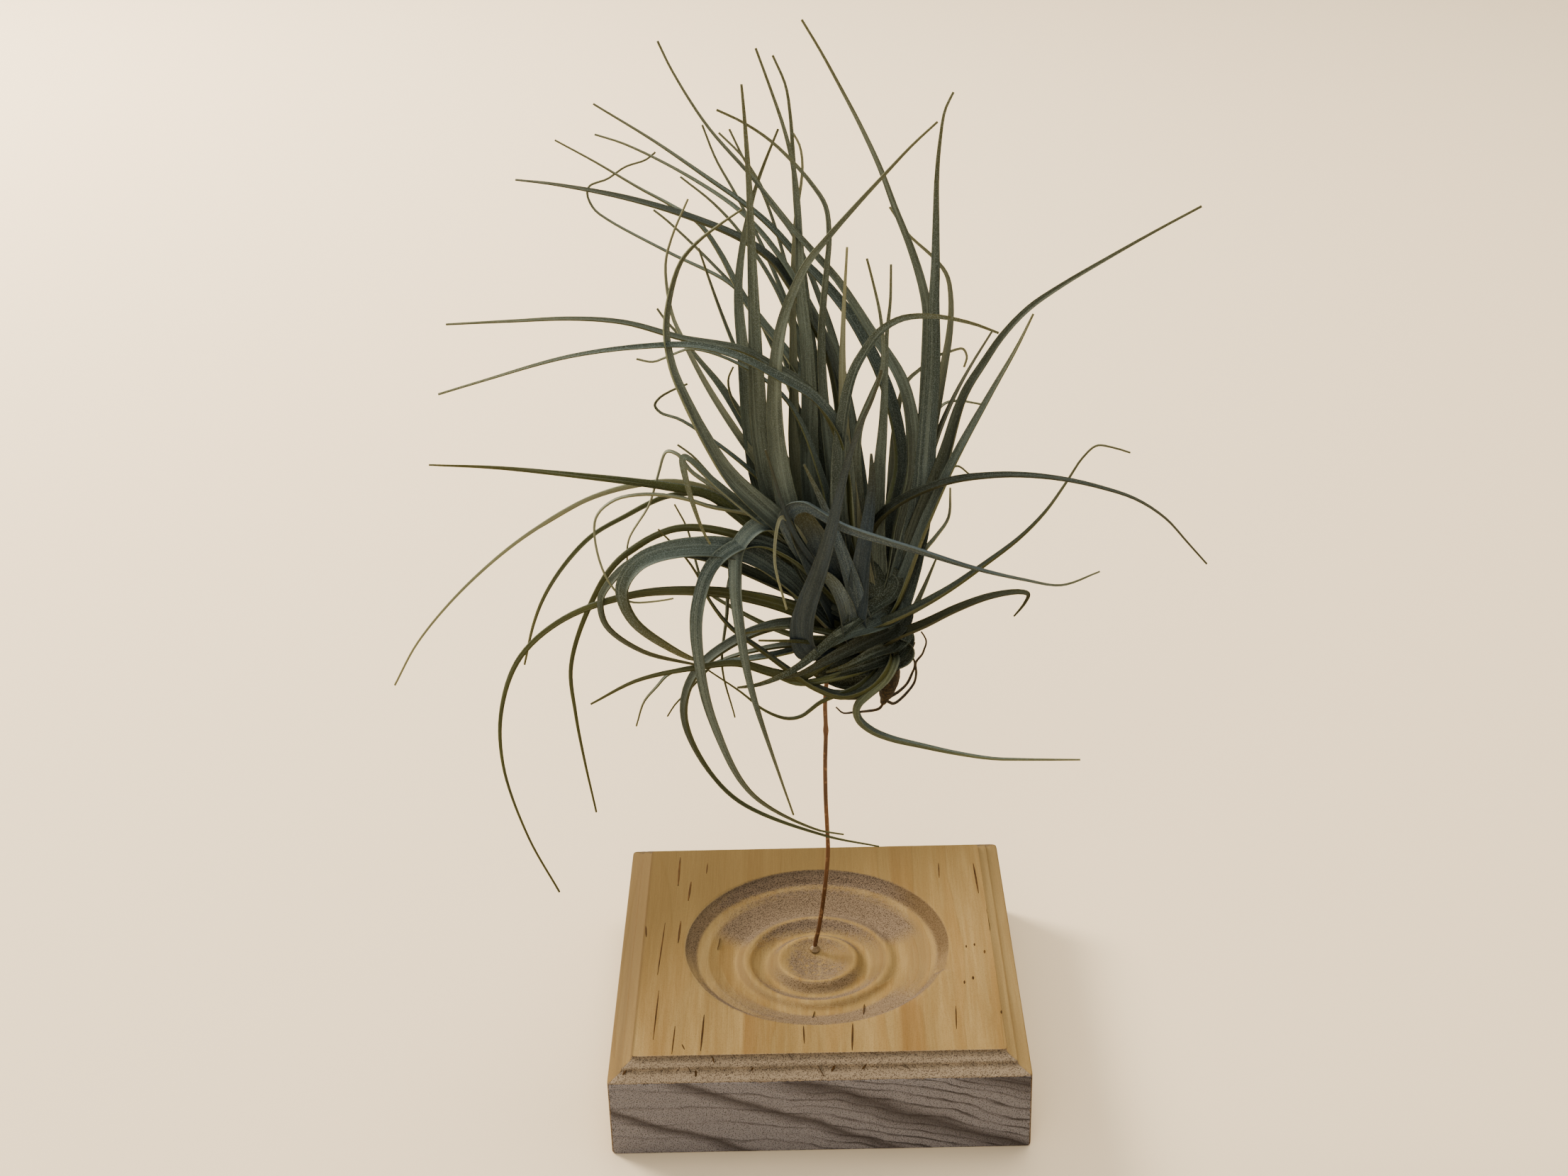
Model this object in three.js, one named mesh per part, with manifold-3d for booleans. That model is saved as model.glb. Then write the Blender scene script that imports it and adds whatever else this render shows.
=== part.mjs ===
// A dark tillandsia held up by a wire over a carved pine rosette block.
// Millimetres, +Z up, +X to the viewer's right, +Y away from the viewer.
// The origin is the middle of the block's underside.
import * as THREE from 'three';
import { mergeVertices } from 'three/addons/utils/BufferGeometryUtils.js';
import Module from 'manifold-3d';

const wasm = await Module();
wasm.setup();

// Driving dimensions
const GAP = 0.3; // between pieces that touch
const BLOCK_WIDTH = 89; // a 3 1/2 inch corner block
const BLOCK_THICK = 21.74; // a little under 7/8 inch
const EDGE_WIDTH = 5.06; // moulded strip round the top
const EDGE_DROP = 3.31; // how far the strip falls to the outside
const RING_RADIUS = 29.8; // outside of the carved rings
const WIRE_RADIUS = 0.5;
const WIRE_SOCKET = 9; // length of wire sunk in the block
const BEAD_RADIUS = 1.7; // glue round the wire's foot
const BEAD_HEIGHT = 1.1;
const BEAD_SHOULDER = 0.1; // how much narrower it is at half its height
const BEAD_LIP = 0.25; // width of its top round the wire
const TIP_WIDTH = 0.62; // width of a blade's tip
const BLADE_THICK = 0.62;
const THREAD_WIDTH = 5.2; // narrower blades have three sides and no channel
const CHANNEL_RISE = 0.05; // how far a wide blade's channel floor stands over its midline
const ROOT_RADIUS = 0.32;

// How a blade is shaped, as shares of its length or width
const FACE_SHARE = 0.4; // where along a blade its face angle is read
const HALF_SHARE = 0.45; // where along its picture line the middle depth is reached
const TAPER = 1.65; // how quickly a blade narrows, unless it has a taper of its own
const SHEATH_SHARE = 0.1; // length of the narrower neck at the stem
const SHEATH_WIDTH = 0.9;
const TROUGH_SHARE = 0.28; // how far the edges stand over the midline
const STEP = 22; // millimetres between a straight blade's sections
const BEND_STEP = 5.8; // and more sections per radian of bend
// A far blade beside the near one that it follows
const FAR_WIDTH = 0.85;
const FAR_HALF_DEPTH = 0.55;
const FAR_START = 4; // its depth beside the stem
const FAR_POINTS = 4; // picture points that it follows at the least
// Sides of the round shapes, and sections along the bars
const RING_SIDES = 48;
const SOCKET_SIDES = 8;
const BEAD_SIDES = 12;
const WIRE_STEPS = 44;
const STEM_SIDES = 10;
const STEM_STEPS = 8;
const STUMP_SIDES = 8;
const STUMP_STEPS = 6;
const ROOT_SIDES = 4;

// Where the photograph was taken from, in the part's frame
const EYE = new THREE.Vector3(0.3, -407.6, 310.1);
const LOOK_DOWN = THREE.MathUtils.degToRad(26);
const LOOK_ROLL = THREE.MathUtils.degToRad(-1.62);
const LOOK_YAW = THREE.MathUtils.degToRad(0.76);
const PHOTO_MIDDLE = [1106, 829.5];
const PHOTO_FOCUS = 3072; // focal length in picture points

const AHEAD = new THREE.Vector3(0, Math.cos(LOOK_DOWN), -Math.sin(LOOK_DOWN));
const LEVEL = new THREE.Vector3(1, 0, 0);
const UPWARD = new THREE.Vector3().crossVectors(LEVEL, AHEAD);
for (const way of [AHEAD, LEVEL, UPWARD]) {
  way.applyAxisAngle(new THREE.Vector3(0, 0, 1), LOOK_YAW);
}
const ACROSS = LEVEL.clone().applyAxisAngle(AHEAD, -LOOK_ROLL);
const UPRIGHT = UPWARD.clone().applyAxisAngle(AHEAD, -LOOK_ROLL);

// The place seen at picture point (u, v) that lies `depth` behind the middle of the block
function spot(u, v, depth) {
  const ray = AHEAD.clone()
    .addScaledVector(ACROSS, (u - PHOTO_MIDDLE[0]) / PHOTO_FOCUS)
    .addScaledVector(UPRIGHT, (PHOTO_MIDDLE[1] - v) / PHOTO_FOCUS);
  return EYE.clone().addScaledVector(ray, (depth - EYE.y) / ray.y);
}

// The short stem, from its dry foot to the heart, as picture points at depth 0
const STEM_LINE = [[1250, 940], [1245, 916], [1240, 880], [1226, 838], [1210, 796], [1198, 756]];
const STEM_RADII = [2.6, 4.4, 6.6, 7.8, 5.6, 2];
// The dry stump below it
const STUMP_LINE = [[1254, 942.5], [1254, 955], [1251, 970], [1248, 984], [1246, 992]];
const STUMP_RADII = [2.3, 2.3, 2.1, 1.3, 0.6];

// The blades, each with how far up the stem it grows (0 foot, 1 heart), its width near the base,
// how quickly it narrows (the power of what is left of its length), the angle between its upper
// face and the viewer, its depth near the stem, halfway and at the tip, and its midline in the
// photograph from the base to the tip.
const BLADES = {
  // Long sweeps to the left and down
  left_level: { stem: 0.45, wide: 4.5, taper: 0.9, face: 110, depth: [-3, -6, -14],
    line: [[1165, 838], [1100, 782], [1035, 727], [1000, 702], [940, 689], [820, 673], [700, 660],
      [605, 655]] },
  left_falling: { stem: 0.4, wide: 3.6, taper: 1.89, face: 110, depth: [2, 4, 16],
    line: [[1150, 815], [1070, 737], [1020, 700], [950, 681], [850, 697], [750, 750], [660, 824],
      [590, 905], [557, 966]] },
  left_falling_inner: { stem: 0.5, wide: 2.4, taper: 1, face: 105, depth: [3, 8, 22],
    line: [[1160, 810], [1095, 760], [1040, 730], [1000, 700], [945, 700], [880, 730], [837, 755],
      [800, 793], [770, 838], [753, 880], [740, 937]] },
  left_hanging: { stem: 0.35, wide: 2.9, taper: 1.36, face: 110, depth: [-2, -4, 10],
    line: [[1160, 840], [1100, 775], [1045, 758], [980, 746], [940, 751], [875, 790], [833, 855],
      [806, 940], [812, 1005], [824, 1070], [841, 1145]] },
  left_hook_wide: { stem: 0.3, wide: 7, taper: 0.49, face: 50, depth: [-5, -14, -20],
    line: [[1180, 890], [1140, 855], [1110, 825], [1045, 785], [960, 780], [905, 798], [883, 832],
      [897, 873], [950, 914], [985, 933]] },
  left_hook_thin: { stem: 0.3, wide: 3.8, taper: 0.69, face: 60, depth: [-3, -8, -16],
    line: [[1100, 830], [1000, 790], [930, 782], [885, 801], [857, 830], [849, 848], [857, 882],
      [905, 917], [985, 939]] },
  left_lowest: { stem: 0.2, wide: 7.2, taper: 2.45, face: 118, depth: [-4, -10, -6],
    line: [[1190, 905], [1130, 870], [1060, 848], [1000, 838], [900, 840], [800, 872], [735, 927],
      [708, 1000], [710, 1080], [745, 1180], [789, 1258]] },
  strap_outer: { stem: 0.3, wide: 4.6, taper: 0.91, face: 30, depth: [-6, -22, -14],
    line: [[1180, 850], [1110, 785], [1060, 768], [1010, 797], [987, 860], [990, 940], [1010, 1022],
      [1062, 1120], [1150, 1170], [1190, 1178]] },
  strap_inner: { stem: 0.35, wide: 7.8, taper: 1.49, face: 40, depth: [-5, -18, -20],
    line: [[1185, 840], [1142, 790], [1110, 760], [1075, 745], [1046, 772], [1041, 820],
      [1047, 890], [1061, 970], [1100, 1095], [1119, 1150]] },
  low_bow: { stem: 0.2, wide: 4.3, taper: 1.07, face: 60, depth: [-4, -12, -16],
    line: [[1180, 890], [1100, 885], [1030, 912], [982, 953], [967, 1003], [985, 1062],
      [1040, 1128], [1160, 1178], [1240, 1195]] },
  low_left_long: { stem: 0.6, wide: 4.4, taper: 0.95, face: 120, depth: [-2, -12, -20],
    line: [[1264, 856], [1257, 877], [1222, 902], [1170, 935], [1130, 958], [1090, 952],
      [1040, 938], [985, 943], [900, 960], [833, 993]] },
  low_left_bent: { stem: 0.15, wide: 2.6, taper: 1.13, face: 60, depth: [4, 5, 7],
    line: [[1190, 905], [1090, 925], [985, 941], [945, 950], [925, 970], [908, 990], [897, 1024]] },
  low_left_short: { stem: 0.15, wide: 3, taper: 1.5, face: 60, depth: [5, 8, 12],
    line: [[1120, 910], [1010, 935], [990, 953], [970, 975], [952, 993], [941, 1010]] },
  low_hanging: { stem: 0.4, wide: 2.6, taper: 1.2, face: 40, depth: [3, 5, 8],
    line: [[1170, 850], [1100, 790], [1050, 780], [1030, 820], [1025, 870], [1018, 940],
      [1036, 1012]] },
  low_rising: { stem: 0.15, wide: 4.4, taper: 1.4, face: 75, depth: [-6, -12, -8],
    line: [[1255, 940], [1232, 968], [1190, 984], [1150, 972], [1110, 945], [1070, 915],
      [1030, 885], [1000, 845], [985, 812], [965, 783], [929, 746]] },
  low_rising_short: { stem: 0.3, wide: 2.6, taper: 1.3, face: 110, depth: [5, 12, 20],
    line: [[1130, 900], [1030, 855], [995, 830], [983, 795], [970, 745], [952, 711]] },
  heart_thread: { stem: 0.6, wide: 2, face: 60, depth: [-6, -20, -24],
    line: [[1160, 800], [1120, 742], [1101, 731], [1093, 790], [1110, 860]] },
  thread_loop: { stem: 0.45, wide: 2.2, taper: 1.62, face: 60, depth: [-3, -8, -12],
    line: [[1150, 790], [1070, 730], [1000, 714], [965, 703], [910, 697], [865, 706], [839, 733],
      [852, 810], [885, 848], [925, 849], [950, 845]] },
  thread_falling: { stem: 0.5, wide: 2.4, taper: 1.65, face: 60, depth: [2, -4, -2],
    line: [[1150, 800], [1070, 738], [1010, 690], [975, 665], [956, 641], [940, 637], [927, 672],
      [915, 712], [886, 762], [884, 803]] },
  left_short: { stem: 0.5, wide: 3, face: 60, depth: [2, 4, 6],
    line: [[1150, 790], [1060, 720], [1010, 678], [978, 643], [956, 627]] },
  left_folded: { stem: 0.5, wide: 4.5, taper: 1.0, face: 60, depth: [-5, -14, -20],
    line: [[1155, 800], [1070, 735], [1010, 685], [965, 646], [968, 675], [990, 745],
      [1002, 768]] },
  // Broad bases wrapped round the foot of the plant
  wrap_broad: { stem: 0.85, wide: 3.6, taper: 0.9, face: 20, depth: [-4, -14, -16],
    line: [[1264, 820], [1256, 841], [1230, 858], [1190, 890], [1120, 945], [1070, 966],
      [1040, 970]] },
  wrap_high: { stem: 0.25, wide: 4, face: 130, depth: [-8, -12, -18],
    line: [[1200, 900], [1110, 885], [1050, 893]] },
  wrap_middle: { stem: 0.2, wide: 4.2, face: 120, depth: [-7, -12, -16],
    line: [[1210, 915], [1130, 905], [1070, 903]] },
  wrap_under: { stem: 0.1, wide: 4, face: 120, depth: [-6, -10, -14],
    line: [[1220, 945], [1130, 965], [1090, 952], [1040, 938], [1000, 935]] },
  wrap_thread: { stem: 0.05, wide: 2, taper: 1.4, face: 90, depth: [-6, -8, -10],
    line: [[1210, 968], [1158, 990], [1130, 1010], [1110, 1013], [1080, 1002], [1045, 975],
      [1000, 945]] },
  // The front of the plant
  scroll: { stem: 0.35, wide: 4.6, taper: 0.96, face: 30, depth: [-2, -24, -18],
    line: [[1200, 885], [1172, 835], [1140, 785], [1118, 750], [1110, 728], [1119, 714],
      [1137, 711], [1158, 722], [1188, 740], [1240, 758], [1298, 776], [1375, 801], [1445, 818],
      [1498, 826], [1552, 807]] },
  scroll_base: { stem: 0.45, wide: 9.5, taper: 0.22, face: 0, depth: [1, -8, -13],
    line: [[1206, 878], [1179, 836], [1159, 797], [1144, 766], [1132, 740], [1122, 717]] },
  front: { stem: 0.3, wide: 7.5, taper: 1.5, face: 10, depth: [-9, -26, -38],
    line: [[1166, 914], [1146, 916], [1136, 898], [1135, 876], [1142, 845], [1156, 805],
      [1171, 755], [1184, 700], [1196, 650], [1214, 600], [1232, 560], [1244, 522]] },
  heart_thumb: { stem: 0.3, wide: 6.5, taper: 0.45, face: 10, depth: [-10, -16, -15],
    line: [[1194, 886], [1189, 868], [1184, 849], [1176, 831], [1164, 816], [1147, 806]] },
  heart_short: { stem: 0.5, wide: 5.8, taper: 0.8, face: -5, depth: [-9, -12, -7],
    line: [[1206, 876], [1211, 840], [1215, 800], [1220, 765], [1226, 725], [1230, 680],
      [1229, 640]] },
  heart_point: { stem: 0.5, wide: 4, face: 120, depth: [-5, -17, -22],
    line: [[1180, 830], [1130, 770], [1110, 730], [1090, 665], [1080, 634]] },
  heart_left: { stem: 0.55, wide: 5.5, taper: 1.1, face: 10, depth: [-9, -13, -8],
    line: [[1212, 872], [1205, 838], [1194, 800], [1182, 765], [1168, 728], [1152, 692],
      [1134, 655]] },
  wrap_front: { stem: 0.65, wide: 7, taper: 1.1, face: 20, depth: [-2, -13, -15],
    line: [[1266, 866], [1259, 885], [1229, 901], [1180, 925], [1130, 950], [1105, 957]] },
  wrap_foot: { stem: 0.5, wide: 6.5, taper: 1.1, face: 20, depth: [-1, -11, -12],
    line: [[1268, 892], [1259, 911], [1231, 923], [1195, 940], [1165, 948]] },
  wrap_silver: { stem: 0.75, wide: 7.8, taper: 0.9, face: 10, depth: [-3, -13, -13],
    line: [[1258, 850], [1252, 868], [1230, 882], [1192, 896], [1160, 916], [1138, 936]] },
  wrap_low: { stem: 0.4, wide: 6, taper: 0.9, face: 20, depth: [0, -8, -8],
    line: [[1270, 902], [1263, 919], [1244, 931], [1213, 942], [1175, 953], [1150, 962]] },
  wrap_inner: { stem: 0.3, wide: 10, taper: 0.5, face: 0, depth: [1, -1, -2],
    line: [[1262, 908], [1230, 923], [1190, 934], [1140, 946]] },
  wrap_bowl: { stem: 0.15, wide: 6, taper: 0.7, face: 60, depth: [-1, -3, -5],
    line: [[1266, 918], [1258, 942], [1243, 967], [1213, 983], [1170, 980], [1137, 958]] },
  wrap_hollow: { stem: 0.1, wide: 7.5, taper: 0.8, face: 0, depth: [4, 5, 4],
    line: [[1258, 934], [1225, 956], [1186, 961], [1146, 951]] },
  // Arches to the upper left
  big_loop: { stem: 0.5, wide: 7.4, taper: 1.17, face: 40, depth: [-4, -24, -18],
    line: [[1170, 810], [1095, 740], [1030, 680], [1000, 635], [962, 560], [945, 515], [938, 456],
      [958, 373], [981, 344], [1010, 321], [1047, 296]] },
  thin_loop: { stem: 0.5, wide: 3.4, taper: 1.45, face: 40, depth: [2, -2, 6],
    line: [[1160, 790], [1110, 710], [1062, 645], [998, 547], [960, 473], [948, 444], [939, 375],
      [948, 335], [971, 281]] },
  olive_broad: { stem: 0.5, wide: 9, taper: 1.5, face: 20, depth: [4, 10, 18],
    line: [[1160, 810], [1120, 730], [1090, 670], [1056, 610], [1016, 546], [985, 507], [960, 475],
      [940, 453], [927, 435]] },
  curl_low: { stem: 0.5, wide: 2.5, taper: 1.3, face: 60, depth: [3, -4, 4],
    line: [[1150, 770], [1085, 690], [1030, 640], [960, 592], [932, 582], [924, 572], [930, 562],
      [948, 551], [970, 542]] },
  curl_small: { stem: 0.5, wide: 3, taper: 1.3, face: 60, depth: [5, 8, 10],
    line: [[1165, 810], [1115, 720], [1065, 620], [1032, 560], [1028, 535], [1035, 518]] },
  curl_left: { stem: 0.6, wide: 3.2, face: 60, depth: [-3, -5, -8],
    line: [[1185, 810], [1160, 680], [1110, 565], [1040, 512], [975, 492], [948, 500], [921, 510],
      [898, 506]] },
  arch_high: { stem: 0.65, wide: 4.1, taper: 1.15, face: 70, depth: [-3, -14, -14],
    line: [[1205, 830], [1190, 740], [1188, 650], [1168, 590], [1130, 543], [1089, 518],
      [1047, 495], [965, 479], [882, 456], [811, 450], [720, 453], [629, 457]] },
  arch_low: { stem: 0.65, wide: 4.3, taper: 1.35, face: 60, depth: [-5, -20, -28],
    line: [[1210, 830], [1200, 740], [1195, 660], [1181, 605], [1145, 560], [1096, 532],
      [1040, 504], [985, 489], [902, 490], [799, 504], [674, 539], [618, 556]] },
  fan_1: { stem: 0.7, wide: 6, taper: 0.98, face: 60, depth: [1, 8, 20],
    line: [[1208, 820], [1190, 740], [1185, 650], [1180, 570], [1165, 500], [1140, 450],
      [1110, 400], [1089, 371], [1047, 340], [965, 305], [882, 280], [782, 260], [727, 253]] },
  fan_loop: { stem: 0.65, wide: 2.8, taper: 1.91, face: 60, depth: [3, 16, 30],
    line: [[1185, 815], [1150, 730], [1130, 620], [1100, 490], [1056, 427], [1027, 398], [944, 356],
      [857, 309], [838, 294], [829, 274], [832, 263], [857, 253], [882, 236], [911, 226],
      [925, 215]] },
  fan_2: { stem: 0.65, wide: 5.9, taper: 1.55, face: 60, depth: [3, 14, 24],
    line: [[1195, 820], [1165, 740], [1160, 650], [1140, 560], [1110, 503], [1085, 470],
      [1060, 440], [1039, 405], [1014, 356], [985, 315], [944, 288], [902, 265], [840, 228],
      [783, 197]] },
  fan_3: { stem: 0.75, wide: 4.7, taper: 1.53, face: 60, depth: [2, 10, 14],
    line: [[1218, 815], [1205, 730], [1200, 630], [1182, 530], [1150, 450], [1120, 395],
      [1101, 365], [1072, 327], [1039, 294], [965, 245], [882, 203], [839, 189]] },
  fan_4: { stem: 0.75, wide: 5.8, taper: 1.32, face: 60, depth: [3, 14, 22],
    line: [[1235, 815], [1248, 730], [1265, 650], [1250, 560], [1205, 460], [1160, 400],
      [1122, 361], [1089, 323], [1047, 286], [1006, 257], [923, 199], [837, 146]] },
  fan_thin: { stem: 0.7, wide: 4.4, taper: 1.4, face: 50, depth: [5, 20, 26],
    line: [[1190, 815], [1160, 720], [1145, 580], [1105, 430], [1047, 332], [1006, 286],
      [960, 249]] },
  fan_5: { stem: 0.7, wide: 6, taper: 1.92, face: 30, depth: [-2, 4, -6],
    line: [[1245, 830], [1265, 740], [1285, 650], [1272, 545], [1225, 465], [1180, 395],
      [1151, 361], [1118, 323], [1089, 286], [1060, 249], [998, 178], [948, 99], [928, 58]] },
  fan_thread: { stem: 0.7, wide: 3.2, taper: 1.45, face: 50, depth: [6, 22, 30],
    line: [[1200, 815], [1175, 700], [1140, 520], [1090, 380], [1039, 276], [1010, 224],
      [991, 176]] },
  fan_back: { stem: 0.75, wide: 4.4, taper: 1.59, face: 40, depth: [6, 20, 28],
    line: [[1222, 810], [1215, 720], [1200, 600], [1175, 480], [1140, 380], [1118, 330],
      [1085, 285], [1070, 255], [1047, 220], [1014, 187]] },
  fan_back_thin: { stem: 0.7, wide: 3.7, taper: 1.5, face: 40, depth: [8, 26, 34],
    line: [[1205, 810], [1180, 720], [1150, 560], [1120, 420], [1095, 325], [1075, 270],
      [1050, 225], [1029, 182]] },
  fan_fine: { stem: 0.7, wide: 2.7, taper: 1.33, face: 50, depth: [8, 20, 24],
    line: [[1205, 800], [1170, 700], [1130, 590], [1085, 480], [1056, 424], [1034, 402], [985, 352],
      [940, 310], [922, 296]] },
  fan_drop: { stem: 0.6, wide: 2.7, taper: 1.08, face: 50, depth: [6, 14, 18],
    line: [[1185, 800], [1140, 720], [1085, 600], [1050, 520], [1035, 487], [1015, 435],
      [1000, 392], [990, 362], [986, 350]] },
  // Upright blades
  upright_1: { stem: 0.45, wide: 6.4, taper: 1.1, face: 20, depth: [-4, -12, -8],
    line: [[1160, 830], [1118, 765], [1085, 690], [1072, 620], [1066, 540], [1060, 394],
      [1058, 332], [1056, 265], [1050, 166], [1046, 119]] },
  upright_2: { stem: 0.55, wide: 6.5, taper: 1.51, face: 20, depth: [1, 0, 6],
    line: [[1185, 830], [1152, 750], [1140, 660], [1140, 560], [1136, 480], [1128, 400],
      [1126, 323], [1124, 282], [1118, 232], [1106, 182], [1085, 120], [1066, 68]] },
  upright_3: { stem: 0.6, wide: 6.6, taper: 1.52, face: 30, depth: [3, 6, 12],
    line: [[1195, 825], [1168, 750], [1158, 660], [1150, 570], [1140, 480], [1130, 380],
      [1124, 307], [1120, 250], [1115, 166], [1108, 120], [1090, 78]] },
  upright_4: { stem: 0.55, wide: 4.8, taper: 1.5, face: 30, depth: [4, 12, 16],
    line: [[1175, 820], [1138, 750], [1120, 650], [1118, 540], [1118, 400], [1122, 310],
      [1130, 260], [1132, 230], [1128, 205], [1119, 188]] },
  upright_5: { stem: 0.5, wide: 6.2, taper: 1.25, face: 20, depth: [0, 0, 8],
    line: [[1165, 825], [1110, 760], [1070, 680], [1056, 600], [1048, 500], [1042, 440],
      [1041, 400], [1047, 345], [1055, 305], [1064, 270], [1076, 236], [1098, 182]] },
  hooked: { stem: 0.65, wide: 3.6, taper: 1.45, face: 30, depth: [-1, 2, -6],
    line: [[1200, 815], [1180, 740], [1170, 650], [1160, 560], [1157, 480], [1160, 430],
      [1166, 373], [1169, 332], [1164, 290], [1143, 257], [1118, 228], [1085, 197], [1047, 172],
      [1011, 155]] },
  crossing: { stem: 0.5, wide: 6.4, taper: 1.32, face: 20, depth: [-5, -15, -12],
    line: [[1165, 825], [1122, 750], [1098, 660], [1090, 570], [1095, 490], [1104, 446],
      [1121, 402], [1139, 368], [1168, 333], [1202, 295], [1246, 248], [1287, 205], [1323, 172]] },
  middle_tall: { stem: 0.75, wide: 5.6, taper: 1.5, face: 15, depth: [-4, -10, -14],
    line: [[1215, 830], [1203, 750], [1196, 690], [1191, 640], [1188, 560], [1188, 500],
      [1190, 440], [1195, 349]] },
  middle_bent: { stem: 0.75, wide: 4.5, taper: 1.68, face: 10, depth: [-3, -8, -6],
    line: [[1222, 830], [1212, 740], [1207, 640], [1212, 600], [1228, 560], [1243, 525],
      [1246, 495], [1242, 446], [1232, 400], [1223, 365]] },
  middle_right: { stem: 0.7, wide: 5, taper: 1.55, face: 0, depth: [-2, -4, 2],
    line: [[1232, 830], [1235, 740], [1240, 660], [1245, 600], [1248, 540], [1251, 469],
      [1256, 425], [1257, 373]] },
  arch_right: { stem: 0.7, wide: 5.1, taper: 1.17, face: -20, depth: [-4, -16, -22],
    line: [[1210, 830], [1190, 750], [1186, 660], [1192, 580], [1204, 527], [1220, 496],
      [1242, 467], [1273, 449], [1318, 446], [1371, 456], [1409, 470]] },
  // Blades of the right side
  right_tall_left: { stem: 0.35, wide: 4.9, taper: 1.49, face: -10, depth: [1, 5, -4],
    line: [[1262, 860], [1285, 780], [1300, 690], [1306, 600], [1309, 500], [1309, 437],
      [1300, 393], [1284, 344], [1264, 295], [1242, 237], [1215, 179], [1184, 120], [1157, 71],
      [1131, 28]] },
  right_tall: { stem: 0.4, wide: 7, taper: 1.36, face: -15, depth: [-2, -2, 2],
    line: [[1262, 850], [1290, 760], [1302, 700], [1310, 600], [1317, 500], [1318, 424],
      [1320, 380], [1321, 312], [1322, 250], [1326, 201], [1333, 156], [1345, 130]] },
  right_bowed: { stem: 0.45, wide: 5, taper: 1.47, face: -20, depth: [4, 10, 14],
    line: [[1262, 840], [1292, 750], [1310, 640], [1333, 513], [1340, 469], [1342, 424],
      [1336, 388], [1318, 364], [1281, 330], [1255, 292]] },
  right_curl: { stem: 0.75, wide: 3.4, taper: 1.55, face: 0, depth: [4, 12, 14],
    line: [[1245, 820], [1255, 720], [1263, 600], [1278, 540], [1300, 519], [1320, 503],
      [1340, 496], [1358, 492], [1364, 503], [1360, 518]] },
  right_long: { stem: 0.4, wide: 5.9, taper: 1.79, face: -40, depth: [-2, -6, -16],
    line: [[1265, 840], [1300, 740], [1330, 660], [1362, 558], [1389, 513], [1416, 473],
      [1452, 435], [1496, 404], [1563, 364], [1630, 326], [1695, 291]] },
  right_near: { stem: 0.4, wide: 5.1, taper: 1.11, face: -60, depth: [-4, -12, -20],
    line: [[1265, 850], [1308, 740], [1348, 650], [1398, 556], [1434, 491], [1457, 443]] },
  right_far: { stem: 0.5, wide: 4.6, taper: 1.5, face: -40, depth: [4, 10, 18],
    line: [[1262, 830], [1292, 720], [1325, 610], [1347, 558], [1371, 513], [1400, 466]] },
  right_curve: { stem: 0.6, wide: 3, taper: 1.4, face: -40, depth: [5, 14, 18],
    line: [[1255, 820], [1275, 730], [1300, 620], [1330, 571], [1350, 565], [1385, 570]] },
  right_arch: { stem: 0.6, wide: 4.2, taper: 1.57, face: -60, depth: [2, -20, -26],
    line: [[1235, 830], [1225, 780], [1236, 741], [1270, 710], [1333, 682], [1396, 672],
      [1445, 671], [1498, 676], [1551, 687], [1603, 704], [1645, 731], [1677, 766], [1703, 795]] },
  right_rising: { stem: 0.15, wide: 4.4, taper: 1.74, face: -70, depth: [-8, -14, -20],
    line: [[1215, 900], [1250, 880], [1284, 864], [1340, 832], [1389, 797], [1438, 759],
      [1474, 722], [1505, 678], [1526, 646], [1547, 628], [1572, 631], [1595, 638]] },
  right_bent: { stem: 0.2, wide: 3.4, taper: 0.69, face: -60, depth: [-5, -8, -10],
    line: [[1245, 912], [1267, 899], [1305, 883], [1347, 862], [1396, 843], [1438, 836],
      [1450, 839], [1445, 852], [1431, 870]] },
  right_lowest: { stem: 0.1, wide: 4, taper: 1.31, face: -80, depth: [-6, -12, -14],
    line: [[1256, 938], [1245, 957], [1225, 975], [1210, 990], [1206, 1003], [1211, 1018],
      [1228, 1032], [1255, 1043], [1300, 1053], [1350, 1063], [1400, 1070], [1440, 1071],
      [1524, 1071]] },
  right_edge: { stem: 0.35, wide: 2.1, taper: 1.1, face: -40, depth: [4, 10, 14],
    line: [[1262, 850], [1298, 785], [1322, 755], [1338, 730], [1340, 688]] },
  right_stub: { stem: 0.45, wide: 2.6, taper: 1.5, face: -40, depth: [6, 16, 20],
    line: [[1262, 830], [1300, 720], [1330, 672], [1350, 657], [1372, 672]] },
  right_spur: { stem: 0.25, wide: 2.3, taper: 1.06, face: -40, depth: [4, 6, 8],
    line: [[1262, 890], [1288, 862], [1300, 838], [1320, 789]] },
};

// The far side, which the photograph can't show: each blade there follows the same sight lines as a
// blade in front of it, so that it stays hidden, and ends at its own depth and share of that line.
const FAR_BLADES = {
  left_falling: [38, 0.62], left_hanging: [44, 0.5], left_level: [52, 0.6], arch_high: [46, 0.62],
  arch_low: [58, 0.55], fan_1: [50, 0.7], fan_5: [54, 0.72], upright_1: [40, 0.66], crossing: [50, 0.6],
  right_tall: [42, 0.7], right_long: [44, 0.68], right_arch: [36, 0.6], right_rising: [38, 0.58],
  middle_tall: [34, 0.8], left_hook_wide: [36, 0.5], right_tall_left: [58, 0.6],
};

// The wire, from inside the block up into the plant: picture point and depth
const WIRE_LINE = [
  [1150, 1340, 5], [1155, 1310, 4.6], [1160, 1280, 4.2], [1165, 1240, 3.8], [1168, 1200, 3.4],
  [1167, 1170, 3.2], [1165, 1130, 3], [1164, 1080, 2.8], [1165, 1030, 2.6], [1164, 990, 2.4],
  [1168, 955, 2], [1184, 922, 1.5], [1210, 896, 1],
];

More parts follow.
